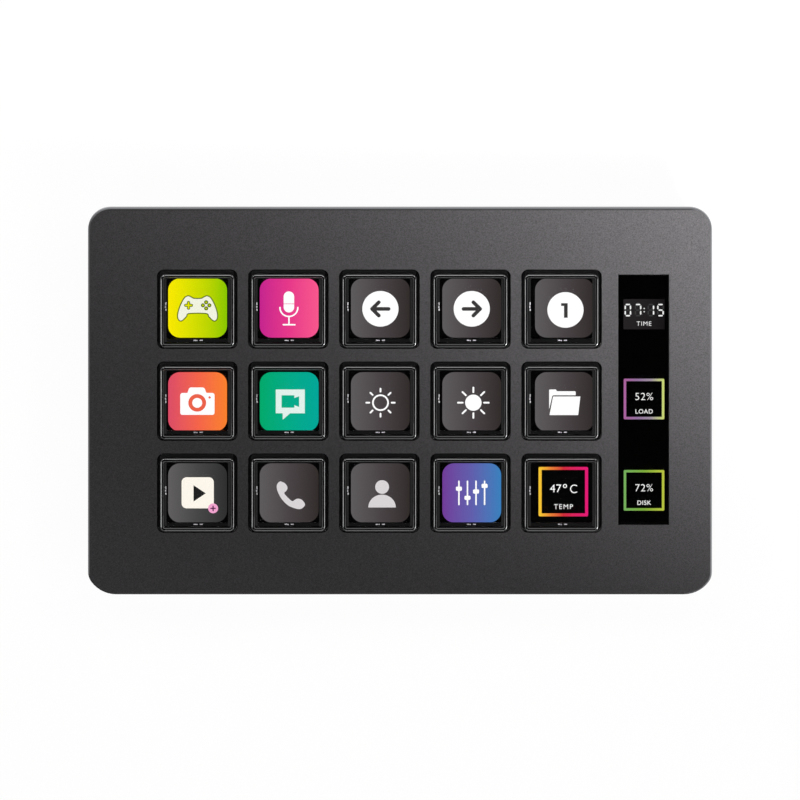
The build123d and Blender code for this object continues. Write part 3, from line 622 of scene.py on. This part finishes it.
def show_picture(name, x, y, paints, layers):
    """One picture on the panel. A layer is the paint's number, its shapes and its words."""
    sheet = bmesh.new()
    for layer, (paint, shapes, words) in enumerate(layers):
        for loops in shapes:
            curve = bpy.data.curves.new("drawing", "CURVE")
            curve.dimensions = "2D"
            curve.fill_mode = "BOTH"
            for loop in loops:
                spline = curve.splines.new("POLY")
                spline.points.add(len(loop) - 1)
                for point, (px, py) in zip(spline.points, loop):
                    point.co = (px, py, 0, 1)
                spline.use_cyclic_u = True
            pour(sheet, curve, x, y, layer, paint)
        for text, word_x, word_y, size, weight, spacing in words:
            curve = bpy.data.curves.new("drawing", "FONT")
            curve.body = text
            curve.size = size
            curve.align_x = "CENTER"
            curve.align_y = "CENTER"
            curve.offset = weight
            curve.space_character = spacing
            pour(sheet, curve, x + word_x * mm, y + word_y * mm, layer, paint)
    mesh = bpy.data.meshes.new(name)
    sheet.to_mesh(mesh)
    sheet.free()
    for paint in paints:
        mesh.materials.append(paint)
    picture = bpy.data.objects.new(name, mesh)
    bpy.context.scene.collection.objects.link(picture)
    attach(picture, "case")


# Colours that several pictures share, as the eye sees them through the lens
white = lit_pixels("lit_white", "#ffffff")
pale = lit_pixels("lit_pale_grey", "#d8d4d6")
cream = lit_pixels("lit_cream", "#fbf5ea")
coal = lit_pixels("lit_coal", "#3a3838")
grey_tile = lit_pixels("lit_grey_tile", "#5e5b5c", "#494345", "#312b2a")

# All sizes in the drawings are millimetres from the middle of the tile
tile_half_width, tile_half_depth = 8.25, 8.43
tile = [plaque(-tile_half_width, -tile_half_depth, tile_half_width, tile_half_depth, 3.3)]
picture_columns = (-56.78, -31.09, -5.50, 20.13, 46.14)
picture_rows = (25.92, -0.78, -26.74)
key_pictures = []

# Game controller, with a cross and four buttons
pad_right_side = [
    (0.95, 2.8), (1.7, 3.15), (2.6, 3.5), (3.7, 2.95), (4.75, 1.1), (5.45, -0.9), (5.65, -2.4),
    (5.4, -3.3), (4.8, -3.75), (4.1, -3.45), (3.1, -2.45), (2.35, -1.6),
]
pad = smooth([(-x, y) for x, y in pad_right_side] + pad_right_side[::-1])
cross_x, pad_y, cross_arm = -2.55, 0.78, 0.8
cross = [
    [(cross_x - cross_arm, pad_y), (cross_x + cross_arm, pad_y)],
    [(cross_x, pad_y - cross_arm), (cross_x, pad_y + cross_arm)],
]
buttons_x, aside, above = 2.4, 0.9, 0.87
button_places = [
    (buttons_x + aside * a, pad_y + above * b) for a, b in ((1, 0), (-1, 0), (0, 1), (0, -1))
]


def cross_and_buttons(line, radius):
    """The controller's cross, in lines of this width, and its buttons."""
    return [stroke(*arm, line) for arm in cross] + [disc(*at, radius) for at in button_places]


key_pictures.append(
    (
        "controller",
        [
            lit_pixels("lit_yellow_green", "#f9e800", "#dde000", "#bcd400", "#86c600"),
            lit_pixels("lit_olive", "#5a6a14"),
            lit_pixels("lit_pale_cream", "#f0f2de"),
        ],
        [
            (0, tile, []),
            (1, [[grown(pad, 0.13)]], []),
            (2, [[grown(pad, -0.17)]], []),
            (1, cross_and_buttons(0.9, 0.57), []),
            (0, cross_and_buttons(0.42, 0.24), []),
        ],
    )
)

# Microphone in its cradle
key_pictures.append(
    (
        "microphone",
        [lit_pixels("lit_magenta_pink", "#c4248d", "#e63889", "#f7578c"), white],
        [
            (0, tile, []),
            (
                1,
                [
                    plaque(-1.55, -1.25, 1.4, 4.73, 1.47),
                    bow(-0.08, 0.1, 2.5, 0.42, 175, 365),
                    stroke((-0.06, -2.4), (-0.06, -4.7), 0.42),
                    stroke((-1.65, -4.75), (1.6, -4.75), 0.42),
                ],
                [],
            ),
            (0, [plaque(-1.7, 1.12, 1.6, 1.28, 0.05)], []),
        ],
    )
)

# Arrows to the left and to the right, and the numeral one, each on a white disc
disc_radius = 5.08
arrow_y, arrow_width = -0.25, 1.04
for name, side in (("arrow_left", -1), ("arrow_right", 1)):
    tip = (side * 2.35, arrow_y)
    tail_and_barbs = ((side * -2.3, arrow_y), (side * 0.45, 1.65), (side * 0.45, -2.15))
    arrow = [stroke(tip, end, arrow_width) for end in tail_and_barbs]
    key_pictures.append(
        (
            name,
            [grey_tile, white, coal],
            [(0, tile, []), (1, [disc(0, -0.22, disc_radius)], []), (2, arrow, [])],
        )
    )
one = [(-0.13, -2.77), (0.9, -2.77), (0.9, 1.38), (-0.95, 1.38), (-0.95, 0.6), (-0.13, 0.6)]
key_pictures.append(
    (
        "numeral",
        [grey_tile, white, coal],
        [(0, tile, []), (1, [disc(0.28, -0.54, disc_radius)], []), (2, [[one]], [])],
    )
)

# Photo camera
hump = [(-2.95, 2.2), (-2.45, 3.75), (-2.0, 4.08), (1.55, 4.08), (2.0, 3.75), (2.6, 2.2)]
key_pictures.append(
    (
        "photo_camera",
        [
            lit_pixels("lit_coral_orange", "#da4c66", "#f3634a", "#f9802c"),
            white,
            lit_pixels("lit_coral", "#ea6048"),
        ],
        [
            (0, tile, []),
            (1, [plaque(-4.87, -3.73, 4.75, 2.52, 0.65), [hump]], []),
            (2, [disc(-0.11, -0.31, 2.5), disc(3.37, 1.23, 0.33)], []),
            (1, [disc(-0.11, -0.31, 1.4)], []),
        ],
    )
)

# Video call: a speech bubble with a film camera cut out of it
bubble = [
    (-3.76, 3.5), (-3.76, -3.28), (-1.85, -3.28), (-1.8, -5.1), (0.25, -3.28), (4.38, -3.28),
    (4.38, 3.5),
]
film_camera = [
    (-2.13, 1.85), (1.45, 1.85), (1.45, 1.1), (2.8, 1.55), (2.8, -1.5), (1.45, -0.95), (1.45, -1.68),
    (-2.13, -1.68),
]
key_pictures.append(
    (
        "video_call",
        [
            lit_pixels("lit_green_teal", "#02a86a", "#02a986", "#02a596"),
            lit_pixels("lit_mint", "#dff1ea"),
        ],
        [(0, tile, []), (1, [[bubble, film_camera]], [])],
    )
)

# Two suns, one an outline and one filled, each with eight rays
sun_y, ray_count, ray_width = -0.26, 8, 0.5
for name, x, middle, start, end in (
    ("sun_outline", 0.03, ring(0.03, sun_y, 2.36, 1.88), 3.15, 3.98),
    ("sun_full", 0.45, disc(0.45, sun_y, 2.3), 3.0, 4.3),
):
    rays = []
    for step in range(ray_count):
        turn = math.tau * step / ray_count
        c, s = math.cos(turn), math.sin(turn)
        inner, outer = (x + start * c, start * s + sun_y), (x + end * c, end * s + sun_y)
        rays.append(stroke(inner, outer, ray_width))
    key_pictures.append((name, [grey_tile, white], [(0, tile, []), (1, [middle] + rays, [])]))

# Folder, its back above its tilted front
folder_back = [
    (-4.3, -2.2), (-4.3, 3.3), (-4.1, 3.5), (-2.4, 3.5), (-2.1, 3.0), (2.95, 3.0), (3.15, 2.8),
    (3.15, 1.85), (-3.1, 1.85), (-3.45, 1.55),
]
folder_front = [(-3.2, 1.5), (-4.2, -3.8), (3.85, -3.8), (4.45, 1.5)]
key_pictures.append(
    ("folder", [grey_tile, white], [(0, tile, []), (1, [[folder_back], [folder_front]], [])])
)

# Play button with a plus badge
badge_x, badge_y, plus_arm, plus_line = 4.35, -4.4, 0.62, 0.36
plus = [
    stroke((badge_x - plus_arm, badge_y), (badge_x + plus_arm, badge_y), plus_line),
    stroke((badge_x, badge_y - plus_arm), (badge_x, badge_y + plus_arm), plus_line),
]
key_pictures.append(
    (
        "play_button",
        [
            lit_pixels("lit_slate_tile", "#605e5f", "#464646", "#2e2e2f"),
            cream,
            lit_pixels("lit_soot", "#1f1f20"),
            lit_pixels("lit_rose", "#f0a2cc"),
            lit_pixels("lit_plum", "#5a2a50"),
        ],
        [
            (0, tile, []),
            (1, [plaque(-4.49, -4.4, 4.55, 4.45, 1.4)], []),
            (2, [[[(-1.15, 2.2), (-1.15, -2.45), (2.3, -0.12)]]], []),
            (3, [disc(badge_x, badge_y, 1.4)], []),
            (4, plus, []),
        ],
    )
)

# Telephone handset
handset = smooth(
    [
        (-2.26, 3.25), (-3.03, 2.94), (-3.49, 1.96), (-3.22, 0.39), (-2.07, -1.76), (-0.33, -3.53),
        (1.6, -4.39), (3.15, -4.59), (4.23, -3.84), (4.38, -3.06), (3.53, -1.96), (2.45, -1.65),
        (1.6, -1.96), (0.91, -2.35), (-0.14, -1.57), (-1.37, -0.12), (-0.79, 0.59), (-0.48, 1.49),
        (-1.02, 2.55),
    ]
)
key_pictures.append(("telephone", [grey_tile, pale], [(0, tile, []), (1, [[handset]], [])]))

# Person: a disc over a dome
dome_steps = 24
dome_turns = [math.pi * step / dome_steps for step in range(dome_steps + 1)]
shoulders = [(0.46 + 3.86 * math.cos(a), -4.15 + 3.65 * math.sin(a)) for a in dome_turns]
key_pictures.append(
    ("person", [grey_tile, pale], [(0, tile, []), (1, [disc(0.48, 1.68, 1.94), [shoulders]], [])])
)

# Sound mixer: four sliders at different heights
mixer = []
slot_half, slot_line = 3.3, 0.42
cap_half_width, cap_half_height, cap_radius = 0.85, 0.6, 0.35
for x, y in ((-3.6, 1.2), (-1.2, -1.4), (1.2, 0.4), (3.6, 2.0)):
    mixer.append(stroke((x, -slot_half), (x, slot_half), slot_line))
    left, right = x - cap_half_width, x + cap_half_width
    mixer.append(plaque(left, y - cap_half_height, right, y + cap_half_height, cap_radius))
key_pictures.append(
    (
        "mixer",
        [lit_pixels("lit_purple_blue", "#703c97", "#605eac", "#397fbc"), white],
        [(0, tile, []), (1, mixer, [])],
    )
)

# Temperature in a coloured frame
key_pictures.append(
    (
        "thermometer",
        [
            lit_pixels("lit_amber_magenta", "#f6ca34", "#e87e36", "#cf2c38", "#da2260", "#e01a74"),
            white,
        ],
        [
            (0, [frame_line(-7.26, -6.69, 6.63, 7.4, 0.4, 0.86)], []),
            (
                1,
                [ring(0.15, 1.95, 0.58, 0.34), bow(2.8, 1.15, 1.08, 0.25, 48, 312)],
                [("47", -2.47, 1.15, 3.3, -0.02, 1.0), ("TEMP", -0.3, -4.0, 2.0, -0.01, 1.2)],
            ),
        ],
    )
)

for number, (name, paints, layers) in enumerate(key_pictures):
    row, column = divmod(number, len(picture_columns))
    show_picture(
        f"picture_{name}", picture_columns[column] * mm, picture_rows[row] * mm, paints, layers
    )


# ---- Window readouts ----
# The same panel shows a clock and two meters under the status window. They are lit brighter, to
# come through its smoked acrylic.

window_loss = lens_loss / 0.43  # it reflects as a lens does, and passes 43 percent of the rest
window_white = lit_pixels("lit_window_white", "#f4f4f4", strength=window_loss)
window_grey = lit_pixels("lit_window_grey", "#262324", "#221f20", "#161415", strength=window_loss)
window_faint = lit_pixels("lit_window_faint", "#3a3a3a", strength=window_loss)
readout_x = 68.46 * mm

# The clock's digits are seven bars each, and the unlit bars show faintly
digit_half_width, digit_half_height, bar_width = 0.74, 1.59, 0.38
level_half, middle_half = 0.42, 0.36
far, near = 1.1, 0.42  # the ends of an upright bar, from the digit's middle
bar_ends = {
    "a": ((-level_half, digit_half_height), (level_half, digit_half_height)),
    "b": ((digit_half_width, far), (digit_half_width, near)),
    "c": ((digit_half_width, -near), (digit_half_width, -far)),
    "d": ((-level_half, -digit_half_height), (level_half, -digit_half_height)),
    "e": ((-digit_half_width, -near), (-digit_half_width, -far)),
    "f": ((-digit_half_width, far), (-digit_half_width, near)),
    "g": ((-middle_half, 0), (middle_half, 0)),
}
lit_bars, dim_bars = [], []
digits_y = 1.17
for bars_lit, digit_x in (("abcdef", -4.53), ("abc", -1.67), ("bc", 1.93), ("acdfg", 4.62)):
    for bar, ((x0, y0), (x1, y1)) in bar_ends.items():
        shape = stroke((digit_x + x0, digits_y + y0), (digit_x + x1, digits_y + y1), bar_width)
        (lit_bars if bar in bars_lit else dim_bars).append(shape)
colon_x, colon_gap, colon_radius, colon_points = 0.05, 0.46, 0.17, 16
colon = [
    disc(colon_x, digits_y + side * colon_gap, colon_radius, colon_points) for side in (-1, 1)
]
clock_y = 23.9 * mm
show_picture(
    "readout_clock", readout_x, clock_y, [window_grey, window_faint, window_white],
    [
        (0, [plaque(-5.78, -4.3, 5.78, 4.3, 0.1)], []),
        (1, dim_bars, []),
        (2, lit_bars + colon, [("TIME", 0, -2.75, 1.8, -0.01, 1.15)]),
    ],
)

# Two meters, each a percentage in a coloured frame
for name, share, label, y, colours in (
    ("load", "52%", "LOAD", -0.26, ("#a8609a", "#906f9b", "#9c8e9e", "#c8d670")),
    ("disk", "72%", "DISK", -26.27, ("#72aa5c", "#7aa63c", "#b6c040")),
):
    show_picture(
        f"readout_{name}", readout_x, y * mm,
        [lit_pixels(f"lit_{name}_frame", *colours, strength=window_loss), window_white],
        [
            (0, [frame_line(-5.7, -5.79, 5.7, 5.79, 0.35, 0.7)], []),
            (1, [], [(share, 0, 0.6, 3.0, -0.03, 1.08), (label, 0, -3.6, 1.75, 0.01, 1.1)]),
        ],
    )


# ---- Dome mat ----
# One sheet of silicone rubber with four domes to a key, laid on the contact board.

# Silicone: milky, so light sinks into it and its domes have soft edges
silicone = grained(
    "milky_silicone", ("#c2c7cc", "#cdd1d5"), (0.38, 0.55), 3 * mm, 0.004 * mm, 3.0,
    IOR=1.41, Subsurface_Weight=0.4, Subsurface_Scale=1.0 * mm,
)
finish(silicone, "dome_mat")


# ---- Key guide ----
# A lattice moulded in black ABS that the keys slide in, with bosses for the case screws.

# Dull ABS: no gloss, so the gaps round the keys stay dark
dull_abs = grained(
    "dull_abs", ("#0a0a0b", "#0f0f10"), (0.55, 0.65), 0.5 * mm, 0.01 * mm, 2.0, IOR=1.54
)
finish(dull_abs, "key_guide")


# ---- Window gasket ----
# A frame die-cut from black foam, which keeps the panel's light in the window.

# Foam: open cells, drawn at 0.3 mm
foam = grained(
    "cellular_foam", ("#080808", "#161616"), (0.9, 1.0), 0.3 * mm, 0.12 * mm, 2.0, IOR=1.4
)
finish(foam, "window_gasket")


# ---- Status window ----
# Smoked acrylic, cut from sheet, with polished faces. It is bonded under the plate.

# Smoked acrylic: what isn't lit behind it stays black, and the room shows in it
smoked_acrylic = grained(
    "smoked_acrylic", ("#b0b0b0", "#b1b1b1"), (0.0, 0.0), 20 * mm, 0.0002 * mm, 1.0,
    IOR=1.49, Transmission_Weight=1.0,
)
finish(smoked_acrylic, "status_window")


# ---- Key lenses ----
# Blocks of cast acrylic with polished faces. Their sides and their bevels are lacquered black
# and bonded into the key frames.

# Cast acrylic: clear through the faces, and black wherever the lacquer is
cast_acrylic, tree, shader, place = new_finish("cast_acrylic", IOR=1.49)
facing = add_node(tree, "ShaderNodeNewGeometry").outputs["True Normal"]
facing_parts = add_node(tree, "ShaderNodeSeparateXYZ", {0: facing})
upright = add_node(tree, "ShaderNodeMath", {0: facing_parts.outputs["Z"]}, operation="ABSOLUTE")
face = add_node(tree, "ShaderNodeMath", {0: upright, 1: level_facing}, operation="GREATER_THAN")
follow(tree, shader, face, ("#020202", "#ffffff"), (0.9, 0.0))
tree.links.new(face.outputs[0], shader.inputs["Transmission Weight"])
finish(cast_acrylic, *key_lenses)


# ---- Key frames ----
# Cups of black ABS from a polished tool, lacquered like a piano. A thin round rim stands up
# round each lens.

# Piano black: a deep black mirror, with thin lines of light along the round rims. The ledge
# under the lens isn't lacquered, and a painted glow greys it a little, in place of the light
# that the lens keeps from it; the side ledges glow more than the front and rear ones.
lens_low, lens_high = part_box("key_lens_1")
ledge_depth = 5.0 * mm  # below the lens's top
ledge_level = lens_high.z - ledge_depth
ledge_reach = 0.1 * mm
ledge_side = 8.6 * mm  # from a key's middle to its side ledges
key_pitch = 25.55 * mm
ledge_painted_glow = (0.006, 0.018)  # at the front and rear ledges, and at the side ones
piano_black, tree, shader, place = new_finish(
    "piano_black", IOR=1.54, Coat_Weight=1.0, Coat_Roughness=0.05, Coat_IOR=1.8,
    Specular_IOR_Level=1.0,
)
lacquer_wave = 3 * mm
noise = add_node(
    tree, "ShaderNodeTexNoise", {"Vector": place, "Scale": 1 / lacquer_wave, "Detail": 1.0}
)
follow(tree, shader, noise, ("#040405", "#080809"), (0.08, 0.12), 0.0002 * mm)
place_parts = add_node(tree, "ShaderNodeSeparateXYZ", {0: place})
at_ledge = add_node(
    tree, "ShaderNodeMath", {0: place_parts.outputs["Z"], 1: ledge_level, 2: ledge_reach},
    operation="COMPARE",
)
first_middle = (lens_low.x + lens_high.x) / 2
from_first = add_node(
    tree, "ShaderNodeMath", {0: place_parts.outputs["X"], 1: first_middle}, operation="SUBTRACT"
)
aside = add_node(tree, "ShaderNodeMath", {0: from_first, 1: key_pitch / 2}, operation="PINGPONG")
at_side = add_node(tree, "ShaderNodeMath", {0: aside, 1: ledge_side}, operation="GREATER_THAN")
# The ledges glow with painted light, brighter at the side ledges than at the front and rear
strength = add_node(
    tree, "ShaderNodeMapRange",
    {"Value": at_side, "To Min": ledge_painted_glow[0], "To Max": ledge_painted_glow[1]},
)
ledge_glow = add_node(tree, "ShaderNodeMath", {0: at_ledge, 1: strength}, operation="MULTIPLY")
shader.inputs["Emission Color"].default_value = linear("#ffffff")
tree.links.new(ledge_glow.outputs[0], shader.inputs["Emission Strength"])
finish(piano_black, *key_frames)

# Marks left by the mould on each ledge, broken, drawn whitish and glowing as a painted glint:
# one at its left, one at its front.
# Each bit gives its middle and its length, from the key's middle, in millimetres.
# Painted glint: the marks are drawn whitish and glow a little
mark_glint_abs = grained(
    "mould_mark_painted_glint", ("#8f8c90", "#e4e2e6"), (0.5, 0.7), 0.25 * mm, 0.005 * mm, 2.0, IOR=1.54,
    Emission_Color=linear("#e4e2e6"), Emission_Strength=0.35,
)
mark_width, mark_height = 0.3, 0.02
mark_bits = (
    (-8.82, 1.5, mark_width, 0.75), (-8.9, 0.6, mark_width, 0.6), (-8.8, -0.25, mark_width, 0.6),
    (-0.7, -8.95, 0.65, mark_width), (-0.1, -9.0, 0.35, mark_width), (1.1, -8.95, 0.85, mark_width),
)
for name in key_frames:
    number = name.removeprefix("key_frame_")
    low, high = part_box(name)
    middle = (low + high) / 2
    marks = bmesh.new()
    for x, y, width, depth in mark_bits:
        bit = bmesh.ops.create_cube(marks, size=1.0)["verts"]
        bmesh.ops.scale(marks, verts=bit, vec=(width * mm, depth * mm, mark_height * mm))
        lift = ledge_level + mark_height * mm / 2
        bmesh.ops.translate(marks, verts=bit, vec=(middle.x + x * mm, middle.y + y * mm, lift))
    mesh = bpy.data.meshes.new(f"mould_mark_glints_{number}")
    marks.to_mesh(mesh)
    marks.free()
    mesh.materials.append(mark_glint_abs)
    piece = bpy.data.objects.new(f"mould_mark_glints_{number}", mesh)
    bpy.context.scene.collection.objects.link(piece)
    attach(piece, f"key_{number}")


# ---- Face plate ----
# Sheet aluminium, blasted with fine beads and anodised dark grey. Its outer bevel is milled
# afterwards. Its colour is painted light: a highlight to the rear and the right, and shade to
# the front, the left and along its top lip.

# Anodised aluminium: satin grey with a fine grain. The beads' pits are about 0.1 mm wide, and are
# drawn at 0.36 mm so that they show.
plate_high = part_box("face_plate")[1]
bead_pit = 0.36 * mm
painted_lip_depth = 0.25 * mm  # how far below the plate's face the painted shade of the lip ends
anodised, tree, shader, place = new_finish("anodised_aluminium", Metallic=1.0)
noise = add_node(
    tree, "ShaderNodeTexNoise",
    {"Vector": place, "Scale": 1 / bead_pit, "Detail": 3.0, "Roughness": 0.9},
)
pits_low, pits_high = 0.25, 0.75  # the noise is finer here, and spreads wider
pits = add_node(
    tree, "ShaderNodeMapRange", {"Value": noise, "From Min": pits_low, "From Max": pits_high}
)
follow(tree, shader, pits, ("#3b3a3b", "#686668"), (0.46, 0.54), 0.002 * mm)
satin_tint = shader.inputs["Base Color"].links[0].from_socket
satin_polish = shader.inputs["Roughness"].links[0].from_socket

# The milled bevel: every face near the outline that looks outwards
flat_facing = 0.8  # the plate's own face is steeper than this
rim_share = 0.94  # of the plate's half width and half depth
painted_lit_side = (0.75, 0.95, 0)  # to the right and the rear
turn_range = 0.7
lip_share, bevel_rough = 0.3, 0.3
facing = add_node(tree, "ShaderNodeNewGeometry").outputs["True Normal"]
facing_parts = add_node(tree, "ShaderNodeSeparateXYZ", {0: facing})
place_parts = add_node(tree, "ShaderNodeSeparateXYZ", {0: place})
outward = add_node(
    tree, "ShaderNodeMath", {0: facing_parts.outputs["Z"], 1: flat_facing}, operation="LESS_THAN"
)
near_outline = []
for axis, reach in (("X", plate_high.x), ("Y", plate_high.y)):
    share = add_node(
        tree, "ShaderNodeMath", {0: place_parts.outputs[axis], 1: reach}, operation="DIVIDE"
    )
    near_outline.append(add_node(tree, "ShaderNodeMath", {0: share}, operation="ABSOLUTE"))
outermost = add_node(
    tree, "ShaderNodeMath", {0: near_outline[0], 1: near_outline[1]}, operation="MAXIMUM"
)
at_rim = add_node(tree, "ShaderNodeMath", {0: outermost, 1: rim_share}, operation="GREATER_THAN")
bevel = add_node(tree, "ShaderNodeMath", {0: outward, 1: at_rim}, operation="MULTIPLY")
# Painted light on the bevel: shade to the front and left, a highlight to the rear and right
rearward = add_node(
    tree, "ShaderNodeVectorMath", {0: facing, 1: painted_lit_side}, operation="DOT_PRODUCT"
)
turned = add_node(
    tree, "ShaderNodeMapRange",
    {"Value": rearward.outputs["Value"], "From Min": -turn_range, "From Max": turn_range},
)
bevel_painted_light = add_node(tree, "ShaderNodeValToRGB", {0: turned})
stops = bevel_painted_light.color_ramp.elements
stops[0].color = linear("#141414")
stops[1].color = linear("#9c9da0")
stops.new(0.12).color = linear("#646466")
stops.new(0.3).color = linear("#646466")
stops.new(0.85).color = linear("#a0a1a4")
# Painted shade: the bevel's top lip is darker
below_lip = add_node(
    tree, "ShaderNodeMath", {0: place_parts.outputs["Z"], 1: plate_level - painted_lip_depth},
    operation="LESS_THAN",
)
lip_painted_shade = add_node(
    tree, "ShaderNodeMixRGB", {0: lip_share, 1: bevel_painted_light, 2: linear("#3c3c3e")}
)
bevel_tint = add_node(tree, "ShaderNodeMixRGB", {0: below_lip, 1: lip_painted_shade, 2: bevel_painted_light})

# Painted shade: a darker strip along the plate's rear edge, just inside the bevel
bevel_width = 0.45 * mm
dark_strip = 0.28 * mm
strip_share = 0.7
strip_start = plate_high.y - bevel_width - dark_strip
at_rear = add_node(
    tree, "ShaderNodeMath", {0: place_parts.outputs["Y"], 1: strip_start}, operation="GREATER_THAN"
)
dark_share = add_node(tree, "ShaderNodeMath", {0: at_rear, 1: strip_share}, operation="MULTIPLY")
rear_painted_shade = add_node(
    tree, "ShaderNodeMixRGB", {0: dark_share, 1: satin_tint, 2: linear("#141414")}
)

# Painted shade makes the walls of the openings black, and a painted highlight makes the window's two
# long edges bright
window_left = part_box("status_window")[0].x
side_facing = 0.3
in_opening = add_node(tree, "ShaderNodeMath", {0: outward, 1: at_rim}, operation="SUBTRACT")
at_window = add_node(
    tree, "ShaderNodeMath", {0: place_parts.outputs["X"], 1: window_left}, operation="GREATER_THAN"
)
sideways = add_node(tree, "ShaderNodeMath", {0: facing_parts.outputs["X"]}, operation="ABSOLUTE")
long_edge = add_node(tree, "ShaderNodeMath", {0: sideways, 1: side_facing}, operation="GREATER_THAN")
window_edge_highlight = add_node(tree, "ShaderNodeMath", {0: at_window, 1: long_edge}, operation="MULTIPLY")
wall_shade_and_highlight = add_node(
    tree, "ShaderNodeMixRGB", {0: window_edge_highlight, 1: linear("#0c0c0c"), 2: linear("#858587")}
)
wall = add_node(tree, "ShaderNodeMixRGB", {0: in_opening, 1: rear_painted_shade, 2: wall_shade_and_highlight})
tint = add_node(tree, "ShaderNodeMixRGB", {0: bevel, 1: wall, 2: bevel_tint})
tree.links.new(tint.outputs[0], shader.inputs["Base Color"])
polish = add_node(
    tree, "ShaderNodeMix", {0: bevel, 2: satin_polish, 3: bevel_rough}, data_type="FLOAT"
)
tree.links.new(polish.outputs[0], shader.inputs["Roughness"])
finish(anodised, "face_plate")
